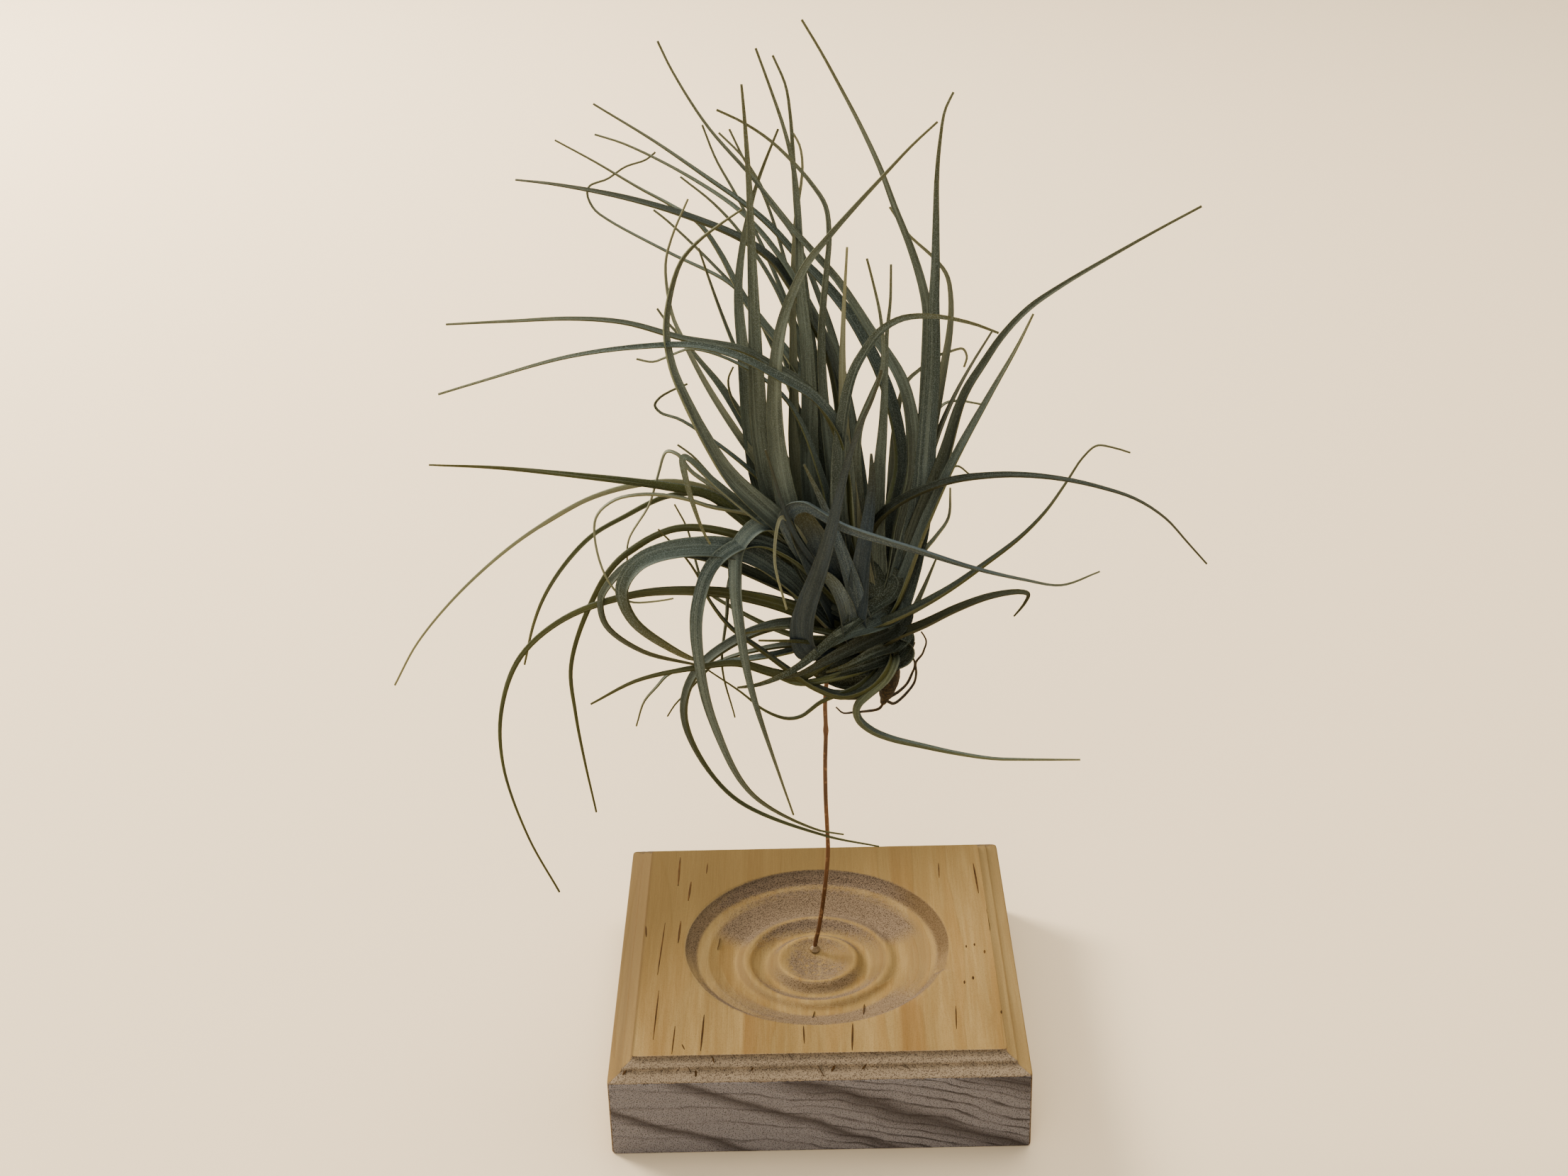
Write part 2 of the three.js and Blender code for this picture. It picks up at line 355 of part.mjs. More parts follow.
// Dry roots from the stump: picture point and depth
const ROOTS = [
  [[1249, 988, 0], [1240, 999, 1], [1220, 1004, 2], [1202, 1006, 3], [1190, 1007, 4], [1180, 998, 5]],
  [[1250, 989, 1], [1262, 991, 3], [1275, 981, 5], [1287, 966, 6], [1293, 950, 6], [1292, 935, 6],
    [1302, 920, 7], [1307, 905, 7], [1300, 892, 7]],
  [[1252, 986, 0], [1268, 975, 3], [1282, 959, 4], [1290, 944, 4], [1290, 933, 4], [1286, 922, 4],
    [1291, 906, 5]],
];

// Shapes

function solidFrom(geometry) {
  const bare = geometry.clone();
  bare.deleteAttribute('normal');
  bare.deleteAttribute('uv');
  const merged = mergeVertices(bare, 1e-4);
  return new wasm.Manifold(new wasm.Mesh({
    numProp: 3,
    vertProperties: merged.attributes.position.array,
    triVerts: new Uint32Array(merged.index.array),
  }));
}

// The largest body alone: a sealed hollow and a loose scrap are left out
function largestBody(solid) {
  const bodies = solid.decompose();
  return bodies.reduce((best, body) => (body.volume() > best.volume() ? body : best));
}

function meshFrom(name, solid, colour, roughness) {
  const { vertProperties, triVerts } = solid.getMesh();
  const geometry = new THREE.BufferGeometry();
  geometry.setAttribute('position', new THREE.BufferAttribute(new Float32Array(vertProperties), 3));
  geometry.setIndex(new THREE.BufferAttribute(new Uint32Array(triVerts), 1));
  geometry.computeVertexNormals();
  const material = new THREE.MeshStandardMaterial({ color: colour, roughness, metalness: 0 });
  const mesh = new THREE.Mesh(geometry, material);
  mesh.name = name;
  return mesh;
}

function through(points) {
  return new THREE.CatmullRomCurve3(points, false, 'centripetal');
}

// Curve parameters spaced closer where the curve bends: a step is `reach` long on a straight
function stations(curve, reach, bendLength) {
  const fine = 240;
  const spent = [0];
  let before = curve.getTangentAt(0);
  for (let step = 1; step <= fine; step += 1) {
    const after = curve.getTangentAt(step / fine);
    spent.push(spent[step - 1] + curve.getLength() / fine + bendLength * before.angleTo(after));
    before = after;
  }
  const count = Math.ceil(spent[fine] / reach);
  const places = [];
  let i = 0;
  for (let k = 0; k < count; k += 1) {
    const wanted = (spent[fine] * k) / count;
    while (spent[i + 1] < wanted) i += 1;
    places.push((i + (wanted - spent[i]) / (spent[i + 1] - spent[i])) / fine);
  }
  places.push(1);
  return places;
}

// A closed skin over rings of points that all have the same number of corners
function skin(rings) {
  const corners = rings[0].length;
  const last = rings.length - 1;
  const places = rings.flat().flatMap((point) => point.toArray());
  const faces = [];
  for (let i = 0; i < last; i += 1) {
    for (let k = 0; k < corners; k += 1) {
      const a = i * corners + k;
      const b = i * corners + ((k + 1) % corners);
      faces.push(a, b, a + corners, b, b + corners, a + corners);
    }
  }
  for (let k = 1; k < corners - 1; k += 1) {
    faces.push(0, k + 1, k);
    faces.push(last * corners, last * corners + k, last * corners + k + 1);
  }
  const geometry = new THREE.BufferGeometry();
  geometry.setAttribute('position', new THREE.Float32BufferAttribute(places, 3));
  geometry.setIndex(faces);
  return solidFrom(geometry);
}

// A round bar along points with a radius at each
function roundBar(points, radii, sides, steps) {
  const curve = through(points);
  const rings = [];
  let side = new THREE.Vector3(0, 1, 0);
  for (let i = 0; i <= steps; i += 1) {
    const along = i / steps;
    const place = curve.getPoint(along);
    const tangent = curve.getTangent(along);
    side = side.addScaledVector(tangent, -side.dot(tangent)).normalize();
    const other = new THREE.Vector3().crossVectors(tangent, side);
    const span = Math.min(radii.length - 2, Math.floor(along * (radii.length - 1)));
    const share = along * (radii.length - 1) - span;
    const radius = THREE.MathUtils.lerp(radii[span], radii[span + 1], share);
    const ring = [];
    for (let k = 0; k < sides; k += 1) {
      const angle = (2 * Math.PI * k) / sides;
      ring.push(place.clone()
        .addScaledVector(side, radius * Math.cos(angle))
        .addScaledVector(other, radius * Math.sin(angle)));
    }
    rings.push(ring);
  }
  return skin(rings);
}

// Turned shapes are drawn as [radius, height] pairs and stand on +Z
function turned(profile, sides) {
  const outline = profile.map(([radius, height]) => new THREE.Vector2(radius, height));
  return new THREE.LatheGeometry(outline, sides).rotateX(Math.PI / 2);
}

// Wood block

// The carved face, from the dished middle out to the rim: radius and depth under the top
const CARVING = [
  [0, -6.1], [4.5, -5.6], [7.4, -4.6], [8.3, -4.05], [9.3, -4.2], [10.2, -5.4], [11.8, -6.1],
  [14.2, -5.1], [15.6, -4.0], [16.8, -4.0], [18.3, -5.1], [21, -4.6], [24.6, -3.2], [25.6, -2.6],
  [27.4, -2.3], [28.2, -1.2], [29.3, -0.4], [RING_RADIUS, 0],
];
// The moulded edge, from outside in: distance in from the side and height over the strip's foot
const EDGE_STEPS = [[0, 0], [1.6, 0.75], [2.5, 1.15], [2.8, 1.6], [4.3, 2.35], [EDGE_WIDTH, 2.95]];

function carvingDepth(radius) {
  const outer = CARVING.findIndex(([r]) => r >= radius);
  const [r0, z0] = CARVING[outer - 1];
  const [r1, z1] = CARVING[outer];
  return THREE.MathUtils.mapLinear(radius, r0, r1, z0, z1);
}

const WIRE_PLACES = WIRE_LINE.map(([u, v, depth]) => spot(u, v, depth));
const WIRE_FOOT = WIRE_PLACES[0];
const FOOT_HEIGHT = BLOCK_THICK + carvingDepth(Math.hypot(WIRE_FOOT.x, WIRE_FOOT.y));

function rosetteBlock() {
  const half = BLOCK_WIDTH / 2;
  const shoulder = BLOCK_THICK - EDGE_DROP;
  const sides = [[0, 0], [half, 0]];
  for (const [inward, rise] of EDGE_STEPS) sides.push([half - inward, shoulder + rise]);
  sides.push([half - EDGE_WIDTH, BLOCK_THICK], [0, BLOCK_THICK]);
  const square = sides.map(([distance, height]) => [distance * Math.SQRT2, height]);
  const body = solidFrom(turned(square, 4).rotateZ(Math.PI / 4));
  const above = 5;
  const carving = CARVING.map(([radius, depth]) => [radius, BLOCK_THICK + depth]);
  carving.push([RING_RADIUS, BLOCK_THICK + above], [0, BLOCK_THICK + above]);
  const rings = solidFrom(turned(carving, RING_SIDES));
  const socket = solidFrom(turned([
    [0, FOOT_HEIGHT - WIRE_SOCKET - GAP], [WIRE_RADIUS + GAP, FOOT_HEIGHT - WIRE_SOCKET - GAP],
    [WIRE_RADIUS + GAP, BLOCK_THICK], [0, BLOCK_THICK],
  ], SOCKET_SIDES).translate(WIRE_FOOT.x, WIRE_FOOT.y, 0));
  return largestBody(body.subtract(rings).subtract(socket));
}

// Wire and the glue round its foot

function wireCurve() {
  const buried = new THREE.Vector3(WIRE_FOOT.x, WIRE_FOOT.y, FOOT_HEIGHT - WIRE_SOCKET);
  const neck = new THREE.Vector3(WIRE_FOOT.x, WIRE_FOOT.y, FOOT_HEIGHT + BEAD_HEIGHT);
  return through([buried, neck, ...WIRE_PLACES.slice(1)]);
}

function wireBar(radius, lengthen) {
  const outline = new THREE.Shape().absarc(0, 0, radius, 0, 2 * Math.PI);
  const curve = wireCurve();
  if (lengthen) {
    const end = curve.points[curve.points.length - 1];
    const way = curve.getTangent(1);
    curve.points.push(end.clone().addScaledVector(way, lengthen));
  }
  const sweep = { curveSegments: 4, steps: WIRE_STEPS, extrudePath: curve };
  return solidFrom(new THREE.ExtrudeGeometry(outline, sweep));
}

function glueBead() {
  const inner = WIRE_RADIUS + GAP;
  const outline = [
    [inner, 0], [BEAD_RADIUS, 0], [BEAD_RADIUS - BEAD_SHOULDER, BEAD_HEIGHT / 2],
    [inner + BEAD_LIP, BEAD_HEIGHT], [inner, BEAD_HEIGHT], [inner, 0],
  ];
  const highest = carvingDepth(Math.hypot(WIRE_FOOT.x, WIRE_FOOT.y) + BEAD_RADIUS);
  const seat = BLOCK_THICK + highest + GAP;
  return solidFrom(turned(outline, BEAD_SIDES).translate(WIRE_FOOT.x, WIRE_FOOT.y, seat));
}

// Plant

const STEM = through(STEM_LINE.map(([u, v]) => spot(u, v, 0)));

// A blade's midline: from the middle of the stem through its picture points at their depths
function midline(blade) {
  const { line, depth } = blade;
  const run = [0];
  for (let i = 1; i < line.length; i += 1) {
    run.push(run[i - 1] + Math.hypot(line[i][0] - line[i - 1][0], line[i][1] - line[i - 1][1]));
  }
  const half = HALF_SHARE * run[line.length - 1];
  const places = line.map(([u, v], i) => {
    const deep = run[i] < half
      ? THREE.MathUtils.mapLinear(run[i], 0, half, depth[0], depth[1])
      : THREE.MathUtils.mapLinear(run[i], half, run[line.length - 1], depth[1], depth[2]);
    return spot(u, v, deep);
  });
  return through([STEM.getPoint(blade.stem), ...places]);
}

// Widest a little way out from the stem, then drawn out to a thread
function bladeWidth({ wide, taper = TAPER }, along) {
  const sheath = THREE.MathUtils.smoothstep(along, 0, SHEATH_SHARE);
  return THREE.MathUtils.lerp(SHEATH_WIDTH, 1, sheath) * wide * (1 - along) ** taper + TIP_WIDTH;
}

// A channelled blade with a keel under it, whose upper face is turned `face` degrees from the
// viewer two fifths of the way along, and which doesn't twist from there to either end.
function bladeSolid(blade) {
  const curve = midline(blade);
  const places = stations(curve, STEP, BEND_STEP);
  const tangents = places.map((along) => curve.getTangentAt(along));
  const points = places.map((along) => curve.getPointAt(along));
  const shown = places.findIndex((along) => along >= FACE_SHARE);
  const uppers = [];
  const toEye = EYE.clone().sub(points[shown]);
  toEye.addScaledVector(tangents[shown], -toEye.dot(tangents[shown])).normalize();
  uppers[shown] = toEye.applyAxisAngle(tangents[shown], THREE.MathUtils.degToRad(blade.face));
  const carry = (from, to) => {
    const turn = new THREE.Quaternion().setFromUnitVectors(tangents[from], tangents[to]);
    uppers[to] = uppers[from].clone().applyQuaternion(turn);
  };
  for (let i = shown; i < places.length - 1; i += 1) carry(i, i + 1);
  for (let i = shown; i > 0; i -= 1) carry(i, i - 1);
  const rings = places.map((along, i) => {
    const width = bladeWidth(blade, along);
    const across = new THREE.Vector3().crossVectors(tangents[i], uppers[i]);
    const trough = TROUGH_SHARE * (width - TIP_WIDTH);
    const corner = (sideways, up) => points[i].clone()
      .addScaledVector(across, sideways)
      .addScaledVector(uppers[i], up);
    const edges = [corner(width / 2, trough), corner(0, -BLADE_THICK), corner(-width / 2, trough)];
    if (blade.wide >= THREAD_WIDTH) edges.push(corner(0, CHANNEL_RISE));
    return edges;
  });
  return skin(rings);
}

function farBlade(name) {
  const [deep, share] = FAR_BLADES[name];
  const near = BLADES[name];
  const kept = Math.max(FAR_POINTS, Math.round(share * near.line.length));
  return {
    stem: near.stem,
    wide: FAR_WIDTH * near.wide,
    face: near.face / 2,
    depth: [FAR_START, FAR_HALF_DEPTH * deep, deep],
    line: near.line.slice(0, kept),
  };
}

function leafRosette(keptClear) {
  const stemPlaces = STEM_LINE.map(([u, v]) => spot(u, v, 0));
  const solids = [roundBar(stemPlaces, STEM_RADII, STEM_SIDES, STEM_STEPS)];
  for (const blade of Object.values(BLADES)) solids.push(bladeSolid(blade));
  for (const name of Object.keys(FAR_BLADES)) solids.push(bladeSolid(farBlade(name)));
  const plant = wasm.Manifold.union(solids);
  const cleared = keptClear.reduce((rest, solid) => rest.subtract(solid), plant);
  return largestBody(cleared);
}

function stumpParts(extra) {
  const places = STUMP_LINE.map(([u, v]) => spot(u, v, 0));
  const radii = STUMP_RADII.map((radius) => radius + extra);
  const parts = [roundBar(places, radii, STUMP_SIDES, STUMP_STEPS)];
  for (const root of ROOTS) {
    const curve = root.map(([u, v, depth]) => spot(u, v, depth));
    const radius = ROOT_RADIUS + extra;
    parts.push(roundBar(curve, [radius, radius], ROOT_SIDES, 2 * root.length));
  }
  return parts;
}

const stump = largestBody(wasm.Manifold.union(stumpParts(0)));
const aroundStump = wasm.Manifold.union(stumpParts(GAP));
const wire = wireBar(WIRE_RADIUS, 0);
const aroundWire = wireBar(WIRE_RADIUS + GAP, GAP);

const plantOnWire = new THREE.Group();
plantOnWire.add(
  meshFrom('rosette_block', rosetteBlock(), 0xb08f5a, 0.65),
  meshFrom('wire', wire, 0x6b3f1e, 0.45),
  meshFrom('glue_bead', glueBead(), 0xb9a98a, 0.35),
  meshFrom('leaf_rosette', leafRosette([aroundWire, aroundStump]), 0x3f463f, 0.6),
  meshFrom('dry_stump', stump, 0x4a3018, 0.8),
);

export default plantOnWire;
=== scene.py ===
# %% [markdown]
# A dark air plant held by a wire over a carved pine block, dressed for a picture.
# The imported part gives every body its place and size. This lesson hides its plain solids one by
# one and puts a finer piece where each stood, in metres and in the same frame, with +Z up, +X to
# the viewer's right and +Y away from the viewer.

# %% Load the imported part
import math

import bpy
import numpy as np
from mathutils import Matrix, Vector, noise


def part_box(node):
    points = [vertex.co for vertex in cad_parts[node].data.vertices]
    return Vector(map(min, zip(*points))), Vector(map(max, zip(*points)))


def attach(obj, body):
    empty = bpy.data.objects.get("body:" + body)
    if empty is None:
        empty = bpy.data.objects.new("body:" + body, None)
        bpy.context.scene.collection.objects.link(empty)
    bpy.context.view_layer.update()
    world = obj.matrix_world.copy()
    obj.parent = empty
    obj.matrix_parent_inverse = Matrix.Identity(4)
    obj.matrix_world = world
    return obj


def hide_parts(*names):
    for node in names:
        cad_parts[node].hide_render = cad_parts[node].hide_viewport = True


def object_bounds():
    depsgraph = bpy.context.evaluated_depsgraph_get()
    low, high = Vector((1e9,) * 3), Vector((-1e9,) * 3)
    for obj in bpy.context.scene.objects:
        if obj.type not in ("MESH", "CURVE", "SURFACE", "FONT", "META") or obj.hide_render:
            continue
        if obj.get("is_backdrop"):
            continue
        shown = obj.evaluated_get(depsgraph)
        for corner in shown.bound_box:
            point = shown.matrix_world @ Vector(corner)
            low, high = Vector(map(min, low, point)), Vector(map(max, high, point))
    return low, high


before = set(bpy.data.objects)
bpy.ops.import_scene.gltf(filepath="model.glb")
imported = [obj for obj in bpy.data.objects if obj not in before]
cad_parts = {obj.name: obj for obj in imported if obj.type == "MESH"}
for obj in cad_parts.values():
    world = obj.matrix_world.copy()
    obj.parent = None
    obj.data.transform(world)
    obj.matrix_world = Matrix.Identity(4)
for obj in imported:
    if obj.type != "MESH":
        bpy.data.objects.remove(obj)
cad_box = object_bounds()
for node_name in sorted(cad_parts):
    low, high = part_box(node_name)
    print(node_name, "spans", [round(1000 * (b - a), 1) for a, b in zip(low, high)], "mm")

# %% [markdown]
# The photograph was taken from a little above the plant, looking down at the block. A camera
# with the same place, turn and focal length shows the piece from the same side, so that the two
# pictures can be compared part by part. The same numbers also turn a point of the picture into a
# place in space, once its depth behind the middle of the block is chosen.

# %% The camera and the picture's sight lines
MM = 0.001
PHOTO_WIDTH, PHOTO_HEIGHT = 2212, 1659
PHOTO_FOCUS = 3072  # focal length in picture points
SENSOR_WIDTH = 36.0
EYE = Vector((0.3, -407.6, 310.1)) * MM
LOOK_DOWN = math.radians(26)
LOOK_ROLL = math.radians(-1.62)
LOOK_YAW = math.radians(0.76)

yaw = Matrix.Rotation(LOOK_YAW, 3, "Z")
AHEAD = yaw @ Vector((0, math.cos(LOOK_DOWN), -math.sin(LOOK_DOWN)))
level = yaw @ Vector((1, 0, 0))
roll = Matrix.Rotation(-LOOK_ROLL, 3, AHEAD)
ACROSS = roll @ level
UPRIGHT = roll @ level.cross(AHEAD)


def spot(u, v, depth):
    """The place seen at picture point (u, v), `depth` millimetres behind the block's middle."""
    ray = AHEAD + ACROSS * ((u - PHOTO_WIDTH / 2) / PHOTO_FOCUS)
    ray = ray + UPRIGHT * ((PHOTO_HEIGHT / 2 - v) / PHOTO_FOCUS)
    return EYE + ray * ((depth * MM - EYE.y) / ray.y)


scene = bpy.context.scene
lens = bpy.data.cameras.new("camera")
lens.sensor_width = SENSOR_WIDTH
lens.lens = PHOTO_FOCUS * SENSOR_WIDTH / PHOTO_WIDTH
lens.clip_start = 0.01
camera = bpy.data.objects.new("camera", lens)
turn = Matrix((ACROSS, UPRIGHT, -AHEAD)).transposed()
camera.matrix_world = Matrix.Translation(EYE) @ turn.to_4x4()
scene.collection.objects.link(camera)
scene.camera = camera
print("camera lens", round(lens.lens, 2), "mm, block's middle at depth 0 is", spot(1106, 1300, 0))

# %% [markdown]
# Colours are easiest to compare as the hex codes of a screen, but a shader reckons in linear
# light, so each code is turned first. A finished piece keeps its object at the origin and has its
# place in its mesh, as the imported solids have, so that a pattern laid out in space stays where it
# is. The volume inside a closed mesh also tells whether its faces look outward.

# %% Helpers for colours and meshes


def paint(code):
    """A hex colour as seen on a screen, turned into the linear numbers that a shader takes."""
    parts = [int(code[i:i + 2], 16) / 255 for i in (1, 3, 5)]
    linear = [p / 12.92 if p <= 0.04045 else ((p + 0.055) / 1.055) ** 2.4 for p in parts]
    return (*linear, 1.0)


def place_mesh(name, points, faces, sharp_angle=180):
    """A new object at the origin whose place is in its mesh."""
    mesh = bpy.data.meshes.new(name)
    mesh.from_pydata([tuple(p) for p in points], [], faces)
    mesh.update()
    mesh.shade_smooth()
    if sharp_angle < 180:
        mesh.set_sharp_from_angle(angle=math.radians(sharp_angle))
    thing = bpy.data.objects.new(name, mesh)
    scene.collection.objects.link(thing)
    return thing


def signed_volume(mesh):
    """Cubic millimetres inside a closed mesh; below zero when its faces look inwards."""
    mesh.calc_loop_triangles()
    corners = np.empty(len(mesh.vertices) * 3)
    mesh.vertices.foreach_get("co", corners)
    corners = corners.reshape(-1, 3) / MM
    index = np.empty(len(mesh.loop_triangles) * 3, dtype=int)
    mesh.loop_triangles.foreach_get("vertices", index)
    a, b, c = (corners[index[k::3]] for k in range(3))
    return float(np.einsum("ij,ij->i", a, np.cross(b, c)).sum() / 6)


print("a mid grey of the screen is", round(paint("#808080")[0], 3), "in linear light")

# %% [markdown]
# The studio floor is one pale round sheet that turns up softly at its rim, so that no line cuts
# the background behind the fine leaf tips from any side. It is marked as stage, so it isn't
# counted as part of the object.

# %% The pale sheet under and behind the piece
SHEET_REACH = 3.0  # metres from the middle to where the rim is steepest
SHEET_BEND = 0.7
SHEET_TOP = 1.2
SHEET_STEEPEST = 75  # degrees
SHEET_STEPS = 12
SHEET_SIDES = 96
sheet_profile = [(0.6, 0.0), (1.5, 0.0), (SHEET_REACH - SHEET_BEND, 0.0)]
for step in range(1, SHEET_STEPS + 1):
    angle = math.radians(SHEET_STEEPEST * step / SHEET_STEPS)
    sheet_profile.append((
        SHEET_REACH - SHEET_BEND + SHEET_BEND * math.sin(angle),
        SHEET_BEND * (1 - math.cos(angle)),
    ))
sheet_profile.append((SHEET_REACH + 0.1, SHEET_TOP))
sheet_turns = [2 * math.pi * k / SHEET_SIDES for k in range(SHEET_SIDES)]
sheet_points = [
    (r * math.cos(t), r * math.sin(t), z) for r, z in sheet_profile for t in sheet_turns]
sheet_faces = [tuple(range(SHEET_SIDES))]
for i in range(len(sheet_profile) - 1):
    for k in range(SHEET_SIDES):
        after = (k + 1) % SHEET_SIDES
        inner, outer = i * SHEET_SIDES, (i + 1) * SHEET_SIDES
        sheet_faces.append((inner + k, outer + k, outer + after, inner + after))
studio_sheet = place_mesh("studio_sheet", sheet_points, sheet_faces)
studio_sheet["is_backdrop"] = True

sheet_paint = bpy.data.materials.new("studio sheet")
sheet_paint.use_nodes = True
sheet_shader = sheet_paint.node_tree.nodes["Principled BSDF"]
sheet_shader.inputs["Base Color"].default_value = paint("#cdbda2")
sheet_shader.inputs["Roughness"].default_value = 0.8
sheet_shader.inputs["Specular IOR Level"].default_value = 0.1
studio_sheet.data.materials.append(sheet_paint)
print("sheet has", len(sheet_faces), "faces")

# %% [markdown]
# In the photograph soft daylight falls on the piece from the left and from above, a little from
# behind, and weak light from the front fills the shadows. One round lamp stands for each of the
# three, and a fourth brightens the sheet at the far left. The world adds an even pale glow. The
# view is given the contrast of a camera's picture, which the plain view transform lacks.

# %% Lights


def soft_lamp(name, place, aim, size, power, colour):
    """A round lamp at a place, turned towards its aim."""
    light = bpy.data.lights.new(name, "AREA")
    light.shape = "DISK"
    light.size = size
    light.energy = power
    light.color = paint(colour)[:3]
    lamp = bpy.data.objects.new(name, light)
    lamp.location = place
    lamp.rotation_euler = (Vector(place) - Vector(aim)).to_track_quat("Z", "Y").to_euler()
    scene.collection.objects.link(lamp)
    return lamp


LAMPS = [  # name, place, aim, size in metres, power in watts, colour
    ("left", (-1.2, 0.8, 0.95), (0, 0, 0.06), 0.6, 22, "#fff4e4"),
    ("above", (0.2, 0.5, 1.5), (0, 0, 0.06), 1.0, 18, "#fff8ee"),
    ("far left", (-1.3, 1.0, 1.1), (-0.8, 1.5, 0.0), 0.8, 60, "#fffaf4"),
    ("front", (-0.2, -1.4, 0.9), (0, 0, 0.1), 1.6, 16, "#fff6ea"),
]
for lamp_values in LAMPS:
    soft_lamp(*lamp_values)
world = bpy.data.worlds.new("daylight")
world.use_nodes = True
glow = world.node_tree.nodes["Background"].inputs
glow["Color"].default_value = paint("#f0f2f4")
glow["Strength"].default_value = 0.8
scene.world = world
scene.view_settings.look = "AgX - Medium High Contrast"

# %% [markdown]
# Shader trees and Geometry Nodes trees are both built from nodes and links. A few short helpers
# keep the building readable: one adds a node with its inputs filled or joined, and the others add
# a piece of arithmetic, a soft step or a mix of two colours. Most of them serve both kinds.

# %% Helpers that add nodes


def fill(tree, node, inputs):
    """Sets each input, given by name or number, to a value or joins it to a node's output."""
    for socket, value in inputs.items():
        if isinstance(value, bpy.types.NodeSocket):
            tree.links.new(value, node.inputs[socket])
        else:
            node.inputs[socket].default_value = value


def add(tree, kind, inputs=None, **settings):
    """One node, with its settings and its inputs."""
    made = tree.nodes.new(kind)
    for key, value in settings.items():
        setattr(made, key, value)
    fill(tree, made, inputs or {})
    return made


def maths(tree, operation, *values):
    made = add(tree, "ShaderNodeMath", dict(enumerate(values)), operation=operation)
    return made.outputs[0]


def vectors(tree, operation, *values):
    made = add(tree, "ShaderNodeVectorMath", dict(enumerate(values)), operation=operation)
    return made.outputs[0]


def scaled(tree, vector, amount):
    """A vector made longer or shorter."""
    made = add(tree, "ShaderNodeVectorMath", {0: vector, "Scale": amount}, operation="SCALE")
    return made.outputs[0]


def length_of(tree, vector):
    made = add(tree, "ShaderNodeVectorMath", {0: vector}, operation="LENGTH")
    return made.outputs["Value"]


def parts_of(tree, vector):
    """The X, Y and Z of a vector."""
    return add(tree, "ShaderNodeSeparateXYZ", {0: vector}).outputs


def product(tree, first, *others):
    for other in others:
        first = maths(tree, "MULTIPLY", first, other)
    return first


def plus(tree, base, value, share):
    """A base with a share of a value added."""
    return maths(tree, "ADD", base, maths(tree, "MULTIPLY", value, share))


def rise(tree, value, start, end):
    """0 at start, 1 at end, and a soft step between them. The end may be the lower of the two."""
    made = add(tree, "ShaderNodeMapRange", {"Value": value, "From Min": start, "From Max": end},
               interpolation_type="SMOOTHSTEP")
    return made.outputs["Result"]


def between(tree, value, low_border, high_border):
    """1 between two soft borders. Each border is given as where the mask is 0 and where it is 1."""
    return maths(tree, "MULTIPLY", rise(tree, value, *low_border), rise(tree, value, *high_border))


def blend(tree, share, first, second):
    """Two colours mixed by a share. Sockets 0, 6 and 7 are the colour kind's share and colours."""
    made = add(tree, "ShaderNodeMix", {0: share, 6: first, 7: second}, data_type="RGBA")
    return made.outputs[2]


def tinted(tree, colour, *tints):
    """A colour with tints laid over it in turn, each a mask, its strength and a hex code."""
    for mask, strength, code in tints:
        colour = blend(tree, maths(tree, "MULTIPLY", mask, strength), colour, paint(code))
    return colour


def attribute(tree, name):
    return add(tree, "ShaderNodeAttribute", attribute_name=name).outputs["Fac"]


def object_place(tree):
    """Where a point of the piece is, in metres."""
    return add(tree, "ShaderNodeTexCoord").outputs["Object"]


print("helpers:", [made.__name__ for made in (add, maths, rise, between, blend, tinted)])

# %% [markdown]
# The trees themselves need a few helpers too: one opens a node group with named sockets, one
# opens a material, and one runs a Geometry Nodes tree on a mesh and keeps what grew as a plain
# mesh, because the finished model is exported as such. The last one seats a finished piece on the
# part's one body and hides the imported solids that it stands for.

# %% Helpers that open trees, grow meshes and seat pieces


def new_tree(name, kind, inputs, outputs):
    """A node group with named sockets, and its two end nodes."""
    tree = bpy.data.node_groups.new(name, kind)
    for label, socket, start in inputs:
        made = tree.interface.new_socket(label, in_out="INPUT", socket_type="NodeSocket" + socket)
        if start is not None:
            made.default_value = start
    for label, socket in outputs:
        tree.interface.new_socket(label, in_out="OUTPUT", socket_type="NodeSocket" + socket)
    return tree, tree.nodes.new("NodeGroupInput").outputs, tree.nodes.new("NodeGroupOutput").inputs


def finish_named(name):
    """A new material, its tree and its shader."""
    material = bpy.data.materials.new(name)
    material.use_nodes = True
    return material, material.node_tree, material.node_tree.nodes["Principled BSDF"]


def grow(name, source, tree, sizes):
    """Runs a Geometry Nodes tree on a mesh and keeps the result as a plain mesh."""
    carrier = bpy.data.objects.new(name + "_carrier", source)
    scene.collection.objects.link(carrier)
    modifier = carrier.modifiers.new("grow", "NODES")
    modifier.node_group = tree
    for item in tree.interface.items_tree:
        if item.in_out == "INPUT" and item.name in sizes:
            modifier[item.identifier] = sizes[item.name]
    bpy.context.view_layer.update()
    grown = carrier.evaluated_get(bpy.context.evaluated_depsgraph_get())
    mesh = bpy.data.meshes.new_from_object(grown)
    mesh.name = name
    bpy.data.objects.remove(carrier)
    thing = bpy.data.objects.new(name, mesh)
    scene.collection.objects.link(thing)
    return thing


def seat(thing, slot, *nodes):
    """The piece rides on the one body and hides the solids of the nodes that it stands for; the
    slot is not used.
    """
    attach(thing, "root")
    if nodes:
        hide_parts(*nodes)
    print(thing.name, "has", len(thing.data.polygons), "faces and holds",
          round(signed_volume(thing.data)), "cubic mm")


# %% [markdown]
# Two effects turn up on more than one finish. Fibres are long streaks: the grain of the pine, the
# veins of a leaf and the bark of the stump. Specks are a fine scatter of small spots: pores in
# wood, the pale scales on a leaf and the bubbles in glue. Each is a node group, built once, with
# its scale as an input, and each puts out only a mask.

